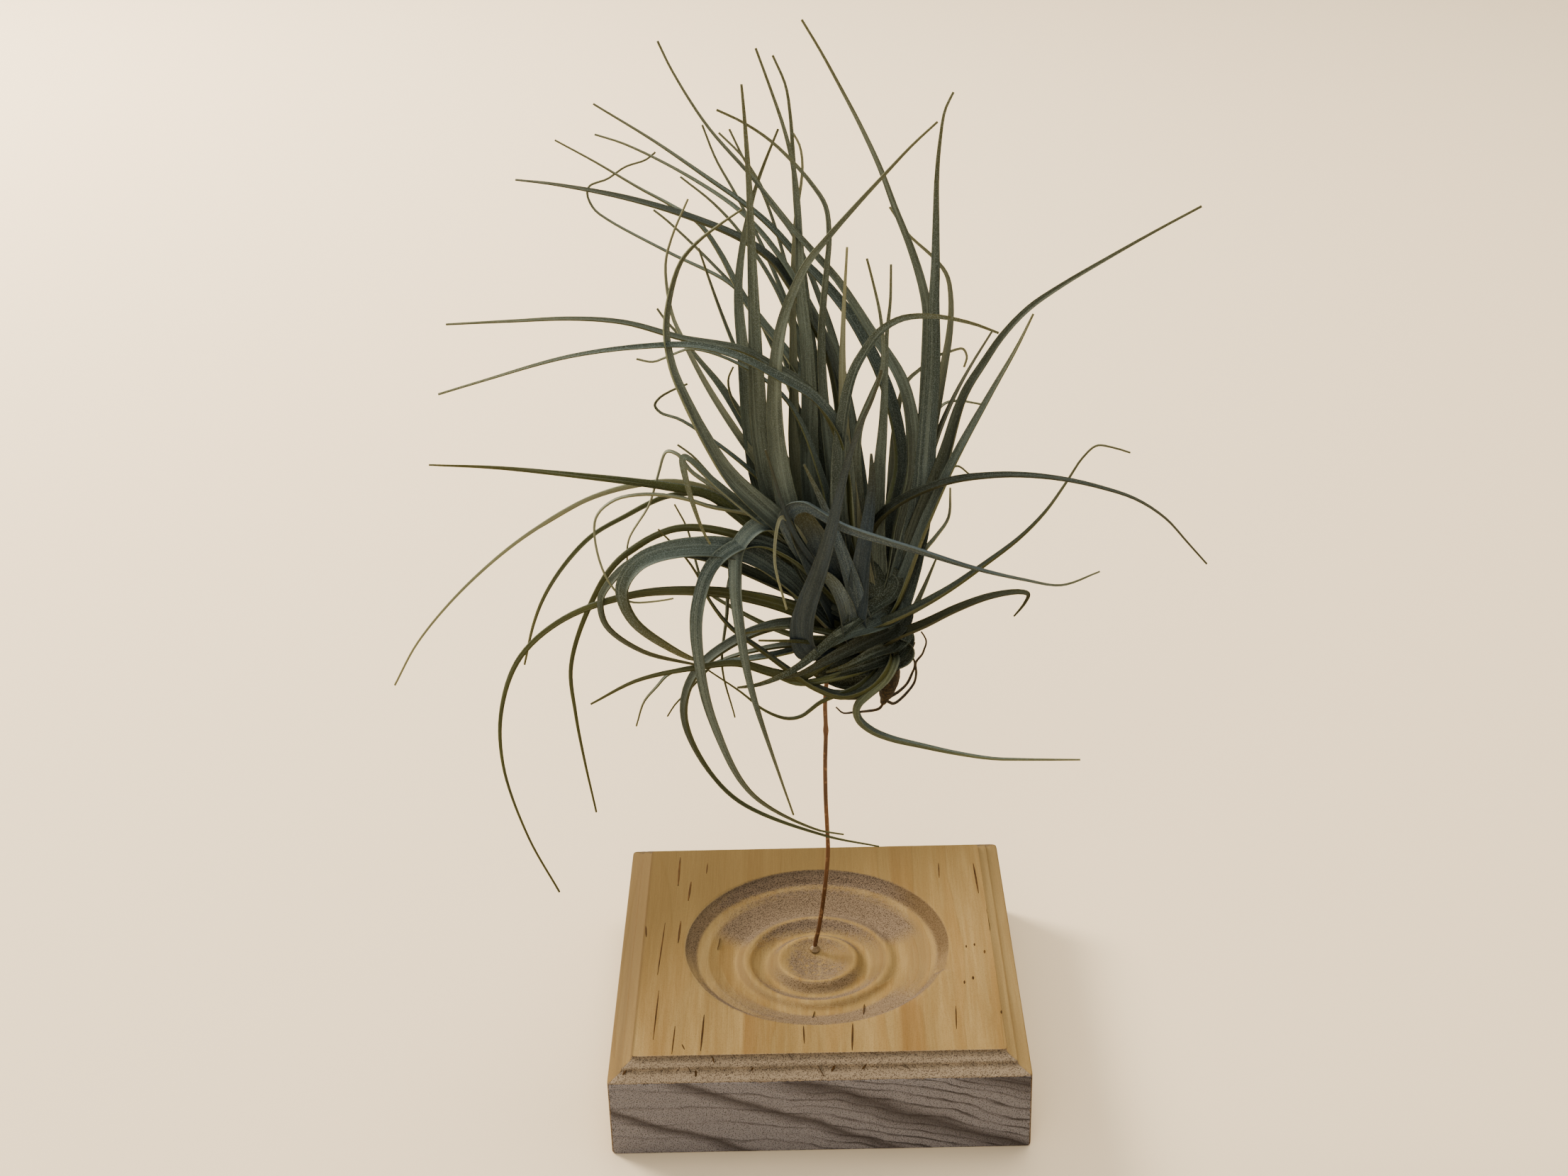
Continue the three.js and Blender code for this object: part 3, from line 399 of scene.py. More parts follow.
# %% Shared effects: fibres and specks
fibres, given, result = new_tree(
    "fibres", "ShaderNodeTree",
    [("Vector", "Vector", None), ("Stretch", "Vector", (1, 1, 1)), ("Scale", "Float", 1000.0),
     ("Bend", "Float", 0.5)],
    [("Streaks", "Float"), ("Broad", "Float")])
drawn_out = vectors(fibres, "MULTIPLY", given["Vector"], given["Stretch"])
fine_noise = add(fibres, "ShaderNodeTexNoise", {
    "Vector": drawn_out, "Scale": given["Scale"], "Detail": 3.0, "Roughness": 0.6,
    "Distortion": given["Bend"]})
broad_noise = add(fibres, "ShaderNodeTexNoise", {
    "Vector": drawn_out, "Scale": maths(fibres, "MULTIPLY", given["Scale"], 0.17), "Detail": 2.0,
    "Distortion": given["Bend"]})
fibres.links.new(rise(fibres, fine_noise.outputs["Fac"], 0.3, 0.7), result["Streaks"])
fibres.links.new(rise(fibres, broad_noise.outputs["Fac"], 0.3, 0.7), result["Broad"])

specks, given, result = new_tree(
    "specks", "ShaderNodeTree",
    [("Vector", "Vector", None), ("Scale", "Float", 3000.0), ("Rarity", "Float", 0.6)],
    [("Mask", "Float")])
spots = add(specks, "ShaderNodeTexNoise", {
    "Vector": given["Vector"], "Scale": given["Scale"], "Detail": 1.0, "Roughness": 0.4})
high_side = maths(specks, "ADD", given["Rarity"], 0.12)
specks.links.new(rise(specks, spots.outputs["Fac"], given["Rarity"], high_side), result["Mask"])


def use_group(tree, group, inputs):
    return add(tree, "ShaderNodeGroup", inputs, node_tree=group).outputs


def raised(tree, height, millimetres, strength=1.0, under=None):
    """A Bump node for a height that is 1 where the surface stands `millimetres` proud."""
    inputs = {"Height": height, "Distance": millimetres * MM, "Strength": strength}
    if under is not None:
        inputs["Normal"] = under
    return add(tree, "ShaderNodeBump", inputs).outputs["Normal"]


print("shared groups:", fibres.name, "and", specks.name)

# %% [markdown]
# The block is one piece of pine, turned into a rosette and moulded round its top edge. It could
# be carved with booleans, but a turned and a square shape join more cleanly as one skin: a stack
# of closed loops with the same number of points in each, round inside the rings, square outside,
# and somewhere between the two on the flat. Points gather towards the corners, so that the mitre
# lines stay sharp.

# %% Loops of the block
BLOCK_WIDTH = 89.0
BLOCK_THICK = 21.74
EDGE_DROP = 3.31
RING_RADIUS = 29.8
LOOP_POINTS = 384
CORNER_POWER = 110  # the higher, the sharper the block's upright corners
# Radius and depth under the top, from the dished middle to the rim
CARVING = [
    (0, -6.1), (4.5, -5.6), (7.4, -4.6), (8.3, -4.05), (9.3, -4.2), (10.2, -5.4), (11.8, -6.1),
    (14.2, -5.1), (15.6, -4.0), (16.8, -4.0), (18.3, -5.1), (21, -4.6), (24.6, -3.2), (25.6, -2.6),
    (27.4, -2.3), (28.2, -1.2), (29.3, -0.4), (RING_RADIUS, 0),
]
# The moulded strip, from inside out: distance in from the side and drop under the top
MOULDING = [
    (5.06, 0.0), (5.05, 0.42), (4.7, 0.66), (4.3, 0.9), (3.5, 1.22), (2.85, 1.5), (2.8, 1.95),
    (2.5, 2.16), (2.1, 2.35), (1.6, 2.56), (0.8, 2.86), (0.12, 3.12), (0.0, 3.31), (0.0, 3.6),
]
side_slots = LOOP_POINTS // 4
gathered = np.sin(math.pi / 2 * (2 * (np.arange(side_slots) + 0.5) / side_slots - 1))
quarter = np.arctan(gathered)
angles = np.concatenate([quarter + math.pi / 2 * k for k in range(4)])
COS, SIN = np.cos(angles), np.sin(angles)
square_reach = (np.abs(COS) ** CORNER_POWER + np.abs(SIN) ** CORNER_POWER) ** (-1 / CORNER_POWER)


def smooth_profile(corners, spacing, rounds):
    """A profile through its corners, one point every `spacing`, eased `rounds` times."""
    corners = np.array(corners, float)
    run = np.concatenate([[0], np.cumsum(np.hypot(*np.diff(corners, axis=0).T))])
    steps = np.linspace(0, run[-1], int(run[-1] / spacing))
    line = np.stack([np.interp(steps, run, corners[:, k]) for k in range(2)], 1)
    for _ in range(rounds):
        line[1:-1] = 0.25 * line[:-2] + 0.5 * line[1:-1] + 0.25 * line[2:]
    return line


CARVING_STEP, CARVING_EASING = 0.35, 7
MOULDING_STEP, MOULDING_EASING = 0.16, 2
FLAT_SHARES = (0.04, 0.3, 0.65, 0.96, 1.0)  # from the round rim to the square moulding
SIDE_LOOPS = [  # height above the base and distance in from the side
    (14.0, 0), (9.0, 0), (4.0, 0), (0.5, 0), (0.12, 0.12), (0, 0.5)]
loops = []
for radius, depth in smooth_profile(CARVING, CARVING_STEP, CARVING_EASING)[1:]:
    loops.append((radius * COS, radius * SIN, BLOCK_THICK + depth))
half = BLOCK_WIDTH / 2
inner_half = half - MOULDING[0][0]
for share in FLAT_SHARES:
    reach = (1 - share) * (RING_RADIUS + 0.1) + share * inner_half * square_reach
    loops.append((reach * COS, reach * SIN, BLOCK_THICK))
for inward, drop in smooth_profile(MOULDING, MOULDING_STEP, MOULDING_EASING):
    reach = (half - inward) * square_reach
    loops.append((reach * COS, reach * SIN, BLOCK_THICK - drop))
for height, inward in SIDE_LOOPS:
    reach = (half - inward) * square_reach
    loops.append((reach * COS, reach * SIN, height))
block_points = np.array([(x, y, z) for xs, ys, z in loops for x, y in zip(xs, ys)])
print("block has", len(loops), "loops of", LOOP_POINTS, "points")

# %% [markdown]
# A cutter leaves end grain rough. Wherever the skin faces along the grain, which runs front to
# back, the fibres were torn instead of sliced: on the ring slopes at the front and back, and
# most of all on the moulded strip along the front. Noise lowers the points there. Four small
# chips are missing: one from the rim of the rings, one from a slope inside them and two from the
# moulding.

# %% Tear the end grain
TEAR_DEPTH = 0.16
STRIP_TEAR_DEPTH = 0.42
CHIPS = [  # place, and reach and depth in millimetres
    (spot(1325, 1362, -9.3), 2.0, 0.9), (spot(1434, 1411, -22.5), 1.4, 0.6),
    (spot(1141, 1489, -41), 1.2, 0.35), (spot(1268, 1301, 11.7), 1.4, 0.4),
]
strip_start = inner_half - 0.4
grid = block_points.reshape(len(loops), LOOP_POINTS, 3)
slope_z = np.gradient(grid[:, :, 2], axis=0)
slope_r = np.gradient(np.hypot(grid[:, :, 0], grid[:, :, 1]), axis=0)
steep = np.abs(slope_z) / np.hypot(slope_z, slope_r + 1e-6)
for i in range(len(loops)):
    for k in range(LOOP_POINTS):
        x, y, z = grid[i, k]
        if z < BLOCK_THICK - EDGE_DROP - 1.5:
            continue
        on_strip = max(abs(x), abs(y)) > strip_start
        facing = abs(y) >= abs(x) if on_strip else abs(SIN[k]) ** 2
        torn = noise.noise(Vector((x * 1.1, y * 0.8, z * 1.4)))
        torn += 0.6 * noise.noise(Vector((x * 2.7, y * 1.5, z * 2.9)) + Vector((40, 0, 0)))
        depth = (STRIP_TEAR_DEPTH if on_strip and y < 0 else TEAR_DEPTH) * facing * steep[i, k]
        grid[i, k, 2] -= depth * max(0.0, torn)
        for chip, chip_reach, chip_depth in CHIPS:
            near = (Vector((x, y, z)) - chip / MM).length / chip_reach
            if near < 1:
                grid[i, k, 2] -= chip_depth * (1 - near) ** 0.6
print("the dish lies", round(BLOCK_THICK - grid[0, :, 2].mean(), 2), "mm under the flat")

# %% [markdown]
# The loops become one closed skin: a strip of four-sided faces between each loop and the next,
# and a fan of triangles at the dished middle and under the base. The order of a face's corners
# decides which way it looks, so a positive volume shows that all of them look outward. Edges
# steeper than 50 degrees stay sharp.

# %% Close the skin of the block
block_faces = []
for i in range(len(loops) - 1):
    for k in range(LOOP_POINTS):
        after = (k + 1) % LOOP_POINTS
        low_row, high_row = i * LOOP_POINTS, (i + 1) * LOOP_POINTS
        block_faces.append((low_row + k, high_row + k, high_row + after, low_row + after))
middle_top = len(block_points)
points = [*grid.reshape(-1, 3), (0, 0, BLOCK_THICK + CARVING[0][1]), (0, 0, 0)]
last_row = (len(loops) - 1) * LOOP_POINTS
for k in range(LOOP_POINTS):
    after = (k + 1) % LOOP_POINTS
    block_faces.append((middle_top, k, after))
    block_faces.append((middle_top + 1, last_row + after, last_row + k))
pine_block = place_mesh("pine_block", np.array(points) * MM, block_faces, sharp_angle=50)
print("block volume", round(signed_volume(pine_block.data)), "cubic mm")

# %% [markdown]
# Wood is solid, so its figure is worked out in space and not painted on each face. Growth rings
# are shells round a pith that lies far below the block, a little to its left: cut across they are
# the slanting lines of the front face, cut along they are the streaks of the top. Each ring ends
# in a dark line of late wood. A second set of broad slanted layers, denser and darker, was read
# off the front face, and two brown bands off the top.

# %% Growth rings, layers and bands of the pine
PITH = Vector((-40, 0, -235)) * MM
RING_WIDTH = 2.1 * MM
LATE_WOOD = ((0.62, 0.9), (1.0, 0.93))  # its two borders, as shares of a ring
LAYER_TILT = math.radians(22)
LAYER_SPAN = (-15.0, 45.0)  # millimetres across the layers that the colour stops cover
LAYERS = [(-5.7, 1.4), (6.2, 1.5), (15.6, 2.6), (31.0, 3.2)]  # middle and half width of each
TOP_SPAN = (-45.0, 45.0)  # millimetres from left to right
TOP_BANDS = [(-15.8, 0.8, 5.0), (18.4, 1.2, 5.0)]  # sharp left side, its softness, width

pine, tree, shader = finish_named("planed pine")
place = object_place(tree)
wobble = add(tree, "ShaderNodeTexNoise", {
    "Vector": vectors(tree, "MULTIPLY", place, (1.0, 0.12, 1.6)), "Scale": 60.0, "Detail": 3.0})
shift = scaled(tree, vectors(tree, "SUBTRACT", wobble.outputs["Color"], (0.5, 0.5, 0.5)), 0.005)
moved = vectors(tree, "ADD", place, shift)
from_pith = vectors(tree, "MULTIPLY", vectors(tree, "SUBTRACT", moved, PITH), (1, 0, 1))
distance = length_of(tree, from_pith)
ring = maths(tree, "FRACT", maths(tree, "DIVIDE", distance, RING_WIDTH))
late = between(tree, ring, *LATE_WOOD)
pair = maths(tree, "FRACT", maths(tree, "DIVIDE", distance, 2 * RING_WIDTH))
every_second = product(tree, late, rise(tree, pair, 0.45, 0.55))
layer_way = (math.sin(LAYER_TILT) / MM, 0, math.cos(LAYER_TILT) / MM)
across_layers = add(tree, "ShaderNodeVectorMath", {0: moved, 1: layer_way},
                    operation="DOT_PRODUCT").outputs["Value"]


def bands(tree, value, span, levels):
    """A colour ramp over a span of millimetres, given as places and their levels."""
    low_end, high_end = span
    place_in_span = add(tree, "ShaderNodeMapRange", {
        "Value": value, "From Min": low_end, "From Max": high_end}).outputs["Result"]
    ramp = add(tree, "ShaderNodeValToRGB", {"Fac": place_in_span})
    stops = ramp.color_ramp.elements
    stops[0].color = stops[1].color = (0, 0, 0, 1)
    for here, level_here in levels:
        stop = stops.new((here - low_end) / (high_end - low_end))
        stop.color = (level_here,) * 3 + (1,)
    return ramp.outputs["Color"]


layer_levels = []
for middle, half_width in LAYERS:
    layer_levels.append((middle - 1.6 * half_width, 0.0))
    layer_levels.append((middle + 0.2 * half_width, 1.0))
    layer_levels.append((middle + half_width, 0.0))
layer = bands(tree, across_layers, LAYER_SPAN, layer_levels)
top_levels = []
for left, softness, wide in TOP_BANDS:
    top_levels.append((left - softness, 0.0))
    top_levels.append((left, 1.0))
    top_levels.append((left + 0.5 * wide, 0.7))
    top_levels.append((left + wide, 0.0))
moved_right = maths(tree, "DIVIDE", parts_of(tree, moved)["X"], MM)
top_band = bands(tree, moved_right, TOP_SPAN, top_levels)
print("pine has rings", round(RING_WIDTH / MM, 1), "mm wide,", len(LAYERS), "broad layers and",
      len(TOP_BANDS), "bands on the top")

# %% [markdown]
# Faces that look along the grain drink light between the open pores, so they turn grey and
# rough. How far a face looks along the grain is how much of its normal lies front to back, and
# noise makes the border of the grey uneven. The places of the other marks are found from three
# measures: the distance from the upright axis, the depth under the top and the distance from the
# left or right side.

# %% Grain, pores and places on the block
normal_parts = parts_of(tree, add(tree, "ShaderNodeNewGeometry").outputs["Normal"])
grain = use_group(tree, fibres, {
    "Vector": place, "Stretch": (1, 0.05, 1), "Scale": 900.0, "Bend": 0.3})
pores = use_group(tree, specks, {"Vector": place, "Scale": 4200.0, "Rarity": 0.52})["Mask"]
edge_noise = add(tree, "ShaderNodeTexNoise", {
    "Vector": place, "Scale": 1500.0, "Detail": 2.0}).outputs["Fac"]
rough_noise = add(tree, "ShaderNodeTexNoise", {
    "Vector": place, "Scale": 1000.0, "Detail": 4.0, "Roughness": 0.65}).outputs["Fac"]
facing = maths(tree, "ABSOLUTE", normal_parts["Y"])
facing = plus(tree, facing, maths(tree, "SUBTRACT", edge_noise, 0.5), 0.3)
end_grain = rise(tree, facing, 0.08, 0.5)
square_on = rise(tree, facing, 0.78, 0.95)

in_mm = parts_of(tree, scaled(tree, place, 1 / MM))
from_axis = length_of(tree, vectors(tree, "MULTIPLY", place, (1 / MM, 1 / MM, 0)))
to_back = maths(tree, "DIVIDE", in_mm["Y"], maths(tree, "ADD", from_axis, 0.1))
below_top = maths(tree, "SUBTRACT", BLOCK_THICK, in_mm["Z"])
from_side = maths(tree, "SUBTRACT", half, maths(tree, "ABSOLUTE", in_mm["X"]))
past_rings = rise(tree, from_axis, RING_RADIUS - 1.5, RING_RADIUS)
print("the grain runs front to back, with", len(grain), "masks for its streaks")

# %% [markdown]
# The cutter also tore the wood of the rings in a few places, whichever way they face: the outer
# wall, the dished middle, the slope at the back and the broad rim at the front. Two slopes at
# the front came out sliced clean instead. Each place is a ring between two radii with soft
# borders, and holds on one side of the block only.

# %% Torn and sliced rings
# The inner and the outer border of each ring, in millimetres from the axis
OUTER_WALL = ((26.6, 27.6), (RING_RADIUS + 0.3, RING_RADIUS))
BACK_SLOPE = ((15.6, 17.0), (25.6, 23.8))
FRONT_RIM = ((19.8, 21.4), (RING_RADIUS, 28.9))
INNER_SLOPE = ((8.4, 9.4), (13.0, 12.0))
CLEAN_SLOPE = ((14.6, 16.2), (21.4, 19.8))
DISH = (7.6, 6.0)  # its only border

tilted = maths(tree, "SUBTRACT", 1.0, normal_parts["Z"])
wall_here = product(tree, between(tree, from_axis, *OUTER_WALL), rise(tree, in_mm["Y"], -16, 2),
                    rise(tree, tilted, 0.02, 0.12))
past_dish = plus(tree, maths(tree, "MULTIPLY", in_mm["X"], 0.5), in_mm["Y"], 0.8)
dish_here = product(tree, rise(tree, from_axis, *DISH), rise(tree, past_dish, 4.5, 0.5),
                    rise(tree, rough_noise, 0.3, 0.55))
back_here = product(tree, between(tree, from_axis, *BACK_SLOPE), rise(tree, to_back, 0.22, 0.5))
rim_here = product(tree, between(tree, from_axis, *FRONT_RIM), rise(tree, to_back, -0.42, -0.72),
                   plus(tree, 0.5, rise(tree, in_mm["X"], -18, -3), 0.5))
inner_here = product(tree, between(tree, from_axis, *INNER_SLOPE), rise(tree, to_back, 0.0, -0.4))
clean_here = product(tree, between(tree, from_axis, *CLEAN_SLOPE), rise(tree, to_back, 0.0, -0.3))
smoother = plus(tree, maths(tree, "MULTIPLY", clean_here, 0.8), inner_here, 0.35)
end_grain = product(tree, end_grain, maths(tree, "SUBTRACT", 1.0, smoother))
torn_rings = [(wall_here, 0.82), (dish_here, 0.85), (back_here, 0.9), (rim_here, 0.8)]
for torn_here, share in torn_rings:
    end_grain = maths(tree, "MAXIMUM", end_grain, product(tree, torn_here, share))
print(len(torn_rings), "torn rings")

# %% [markdown]
# The moulded strip along the front crosses the grain for its whole length. It is torn in two
# soft bands, one under its upper edge and one at its middle step, a little darker than the tan
# wood between them. The mask ends at the mitres, where the strip turns the corner.

# %% The torn front strip
# The upper and the lower border of each band, in millimetres under the top
UPPER_BAND = ((-0.05, 0.15), (1.25, 0.35))
STEP_BAND = ((1.0, 1.7), (2.7, 1.9))

past_mitre = maths(tree, "ADD", in_mm["Y"], maths(tree, "ABSOLUTE", in_mm["X"]))
on_strip = product(tree, rise(tree, below_top, EDGE_DROP + 0.05, EDGE_DROP - 0.15),
                   rise(tree, in_mm["Y"], 0.2 - inner_half, -inner_half),
                   rise(tree, past_mitre, 0.2, -0.2))
upper_band = between(tree, below_top, *UPPER_BAND)
step_band = product(tree, between(tree, below_top, *STEP_BAND),
                    rise(tree, grain["Broad"], 0.1, 0.5))
torn_bands = product(tree, maths(tree, "MAXIMUM", upper_band, step_band),
                     plus(tree, 0.2, rise(tree, rough_noise, 0.36, 0.6), 0.5))
print("the strip's torn bands reach down to", STEP_BAND[1][0], "mm of its", EDGE_DROP)

# %% [markdown]
# Faces cut along the grain are golden brown. Late wood, the bands and the pores darken them, and
# painted shade of the plant darkens the top towards its back left corner. At the left the groove
# beside the moulding and the hollow in it are painted darker as shade, faces that look left are
# painted darker as shade, and faces of the moulding that look right are painted lighter as light.

# %% Colours of the sides and the top
# The two borders of each line, in millimetres from the side
GROOVE = ((4.6, 4.95), (5.7, 5.2))
HOLLOW = ((1.3, 2.2), (3.6, 2.8))

# Painted shade of the plant: darker towards the back left corner, most of all outside the rings
toward_corner = maths(tree, "SUBTRACT", in_mm["Y"], maths(tree, "MULTIPLY", in_mm["X"], 0.6))
painted_plant_shade = product(tree, rise(tree, toward_corner, -26, 40), 0.85, plus(tree, 0.35, past_rings, 0.65))
groove = between(tree, from_side, *GROOVE)
hollow = between(tree, from_side, *HOLLOW)
# Painted shade in the groove beside the moulding and in its hollow, at the left only
painted_groove_shade = maths(tree, "MAXIMUM", product(tree, groove, 0.55), product(tree, hollow, 0.35))
at_left = rise(tree, in_mm["X"], -30, -38)
# Painted light: faces of the moulding that look right are lighter
painted_light_right = product(tree, rise(tree, normal_parts["X"], 0.1, 0.4), 0.13)
side_colour = tinted(
    tree, blend(tree, grain["Broad"], paint("#8f7a53"), paint("#7e6a46")),
    (late, 0.22, "#79592f"),
    (product(tree, top_band, past_rings), 0.6, "#6d4f2c"),
    (grain["Streaks"], 0.34, "#694e28"),
    (pores, 0.24, "#5b4626"),
    (painted_plant_shade, 1.0, "#57472a"),
    (painted_groove_shade, at_left, "#54432a"),
    # Painted shade: faces that look left are darker
    (rise(tree, normal_parts["X"], -0.1, -0.4), 0.45, "#5f4e34"),
    (painted_light_right, rise(tree, below_top, EDGE_DROP, EDGE_DROP - 0.3), "#c0aa7e"),
)
print("the groove beside the moulding is", GROOVE[0][1], "mm in from the side")

# %% [markdown]
# Torn wood is a greyer brown. The front face is the greyest, because it looks along the grain
# square on, and there the rings show as dark slanting lines, every second one at the left and
# all of them at the right, with the broad layers over them. One mask then lays the torn colours
# over the golden ones.

# %% Colours of the end grain and the whole block
# Painted shade on the outer wall of the rings at the right
painted_rim_shade = product(tree, wall_here, rise(tree, in_mm["X"], 14, 24))
slope_colour = tinted(
    tree, blend(tree, pores, paint("#6f6050"), paint("#453a2f")),
    (painted_plant_shade, 0.8, "#3c3327"), (painted_rim_shade, 0.6, "#49381f"))
strip_colour = tinted(
    tree, blend(tree, pores, paint("#80725f"), paint("#574b3e")), (torn_bands, 0.65, "#4c4338"))
slope_colour = blend(tree, on_strip, slope_colour, strip_colour)
to_right = add(tree, "ShaderNodeMapRange", {
    "Value": in_mm["X"], "From Min": -40.0, "From Max": 25.0, "To Min": 0.3,
    "To Max": 1.0}).outputs["Result"]
seen_lines = blend(tree, rise(tree, in_mm["X"], -14, 6), every_second, late)
line_share = product(tree, seen_lines, to_right, 0.8, plus(tree, 0.35, grain["Broad"], 0.65))
front_colour = tinted(
    tree, blend(tree, pores, paint("#797575"), paint("#565352")),
    (line_share, 1.0, "#2d2723"), (layer, 0.75, "#39322e"))
below_strip = product(tree, square_on, rise(tree, below_top, EDGE_DROP - 0.3, EDGE_DROP))
end_colour = blend(tree, below_strip, slope_colour, front_colour)
wood_colour = blend(tree, maths(tree, "MAXIMUM", end_grain, on_strip), side_colour, end_colour)
tree.links.new(wood_colour, shader.inputs["Base Color"])
print("pine tree has", len(tree.nodes), "nodes so far")

# %% [markdown]
# Relief too fine for the mesh is a chain of bumps, each given the normal of the one before: the
# streaks of the grain, the late wood that stands a little proud, the torn fibres and the pores.
# The piece is then seated.

# %% Roughness and relief of the pine
tree.links.new(plus(tree, 0.72, end_grain, 0.2), shader.inputs["Roughness"])
shader.inputs["Specular IOR Level"].default_value = 0.1
grain_bump = raised(tree, grain["Streaks"], 0.03)
ring_bump = raised(tree, late, 0.05, under=grain_bump)
torn_relief = plus(tree, product(tree, end_grain, edge_noise),
                   product(tree, torn_bands, on_strip), -0.3)
torn_bump = raised(tree, torn_relief, 0.14, under=ring_bump)
pore_bump = raised(tree, product(tree, pores, end_grain), -0.06, under=torn_bump)
tree.links.new(pore_bump, shader.inputs["Normal"])
pine_block.data.materials.append(pine)
seat(pine_block, "pine", "rosette_block")

# %% [markdown]
# Short dark dashes along the grain are resin canals that the plane opened. There are few enough
# to have been read off the photograph by their two ends, and so were a few dark tears that slant
# over the front strip. A Geometry Nodes tree puts one thin lens between each pair of ends, turned
# and drawn out to fit them.

# %% Ends of the resin dashes
DASH_WIDTH = 0.44
DASH_HEIGHT = 0.06
DASHES = [  # both ends in the picture
    (959.8, 1208.5, 956.5, 1251), (998.4, 1217.4, 996.4, 1232.9), (975.2, 1243, 970.8, 1271.5),
    (938.6, 1300, 927.3, 1377.2), (960.6, 1298.7, 956.5, 1331.3), (929.7, 1395.5, 921.2, 1468.7),
    (952.5, 1446.4, 947.6, 1488.2), (993.5, 1430.1, 988.3, 1484.2),
    (1015.9, 1322.3, 1011.8, 1340.6), (1203, 1442.3, 1202.2, 1483), (911, 1306, 911.8, 1322.3),
    (1133.4, 1446.4, 1134.7, 1472.8), (1148.9, 1426, 1146, 1436.2), (1219.2, 1415.9, 1218, 1432.1),
    (1348.2, 1417.9, 1349.4, 1452.5), (1323.8, 1216.6, 1325, 1239), (961.8, 1472.8, 965.9, 1481),
    (1372.6, 1216.6, 1380.7, 1261.3), (1390.9, 1281.7, 1397, 1314.2), (1363, 1333, 1363.2, 1337),
    (1374.5, 1330.5, 1374.7, 1334.5), (1360.4, 1383, 1360.6, 1388), (1372.6, 1377, 1372.8, 1382),
    (1412.4, 1425, 1412.6, 1430), (1388.8, 1340, 1389, 1345),
]
STRIP_MARKS = [  # short slanting tears in the front strip, again by both ends
    (1152, 1500.5, 1163.3, 1520), (1173, 1512, 1179.4, 1499), (1229, 1505.5, 1243.5, 1496),
    (1270.8, 1497.5, 1285.2, 1509.3), (1216, 1508.7, 1222.7, 1500.7),
    (1004.7, 1490.4, 1007.6, 1500.6), (969.7, 1505, 975.6, 1513.7),
    (981.4, 1509.4, 981.4, 1519.5), (1060, 1510.8, 1062.9, 1503.5),
    (1112.4, 1487.5, 1119.7, 1494.8), (878, 1516.6, 883.9, 1509.4),
]
print(len(DASHES), "dashes and", len(STRIP_MARKS), "tears")

# %% The dash tree
dash_tree, given, result = new_tree(
    "resin dashes", "GeometryNodeTree",
    [("Places", "Geometry", None), ("Width", "Float", DASH_WIDTH * MM),
     ("Height", "Float", DASH_HEIGHT * MM),
     ("Seed", "Int", 4), ("Finish", "Material", None)],
    [("Dashes", "Geometry")])
lens_shape = add(dash_tree, "GeometryNodeMeshUVSphere", {
    "Segments": 10, "Rings": 6, "Radius": 0.5})
dash_way = add(dash_tree, "GeometryNodeInputNamedAttribute", {"Name": "dash_way"},
               data_type="FLOAT_VECTOR").outputs["Attribute"]
dash_length = length_of(dash_tree, dash_way)
dash_turn = add(dash_tree, "FunctionNodeAlignRotationToVector", {"Vector": dash_way}, axis="Y")
uneven = add(dash_tree, "FunctionNodeRandomValue", {2: 0.6, 3: 1.3, "Seed": given["Seed"]},
             data_type="FLOAT").outputs[1]
dash_size = add(dash_tree, "ShaderNodeCombineXYZ", {
    "X": maths(dash_tree, "MULTIPLY", given["Width"], uneven), "Y": dash_length,
    "Z": given["Height"]}).outputs[0]
dash_copies = add(dash_tree, "GeometryNodeInstanceOnPoints", {
    "Points": given["Places"], "Instance": lens_shape.outputs["Mesh"], "Scale": dash_size,
    "Rotation": dash_turn.outputs["Rotation"]})
dash_solid = add(dash_tree, "GeometryNodeRealizeInstances", {
    "Geometry": dash_copies.outputs["Instances"]})
dash_done = add(dash_tree, "GeometryNodeSetMaterial", {
    "Geometry": dash_solid.outputs["Geometry"], "Material": given["Finish"]})
dash_tree.links.new(dash_done.outputs["Geometry"], result["Dashes"])
print("dash tree has", len(dash_tree.nodes), "nodes")

# %% The resin finish, and the dashes in place
resin, tree, shader = finish_named("dark resin")
resin_streaks = use_group(tree, fibres, {
    "Vector": object_place(tree), "Stretch": (1, 0.1, 1), "Scale": 2600.0})["Streaks"]
tree.links.new(blend(tree, resin_streaks, paint("#4d371c"), paint("#302110")),
               shader.inputs["Base Color"])
tree.links.new(raised(tree, resin_streaks, 0.02), shader.inputs["Normal"])
shader.inputs["Roughness"].default_value = 0.75
shader.inputs["Specular IOR Level"].default_value = 0.1


def on_block_top(u, v):
    """Where a sight line meets the block's carved top, found by stepping along the line."""
    ray = AHEAD + ACROSS * ((u - PHOTO_WIDTH / 2) / PHOTO_FOCUS)
    ray = (ray + UPRIGHT * ((PHOTO_HEIGHT / 2 - v) / PHOTO_FOCUS)).normalized()
    hit, where, _, _ = pine_block.ray_cast(EYE, ray)
    return where if hit else None


dash_middles, dash_ways = [], []
for near_u, near_v, far_u, far_v in DASHES + STRIP_MARKS:
    start, end = on_block_top(near_u, near_v), on_block_top(far_u, far_v)
    if start and end:
        dash_middles.append(tuple((start + end) / 2))
        dash_ways.extend(end - start)
dash_mesh = bpy.data.meshes.new("dash places")
dash_mesh.from_pydata(dash_middles, [], [])
dash_mesh.attributes.new("dash_way", "FLOAT_VECTOR", "POINT").data.foreach_set("vector", dash_ways)
resin_dashes = grow("resin_dashes", dash_mesh, dash_tree, {
    "Width": DASH_WIDTH * MM, "Height": DASH_HEIGHT * MM, "Finish": resin})
resin_dashes.data.shade_smooth()
seat(resin_dashes, "pine")

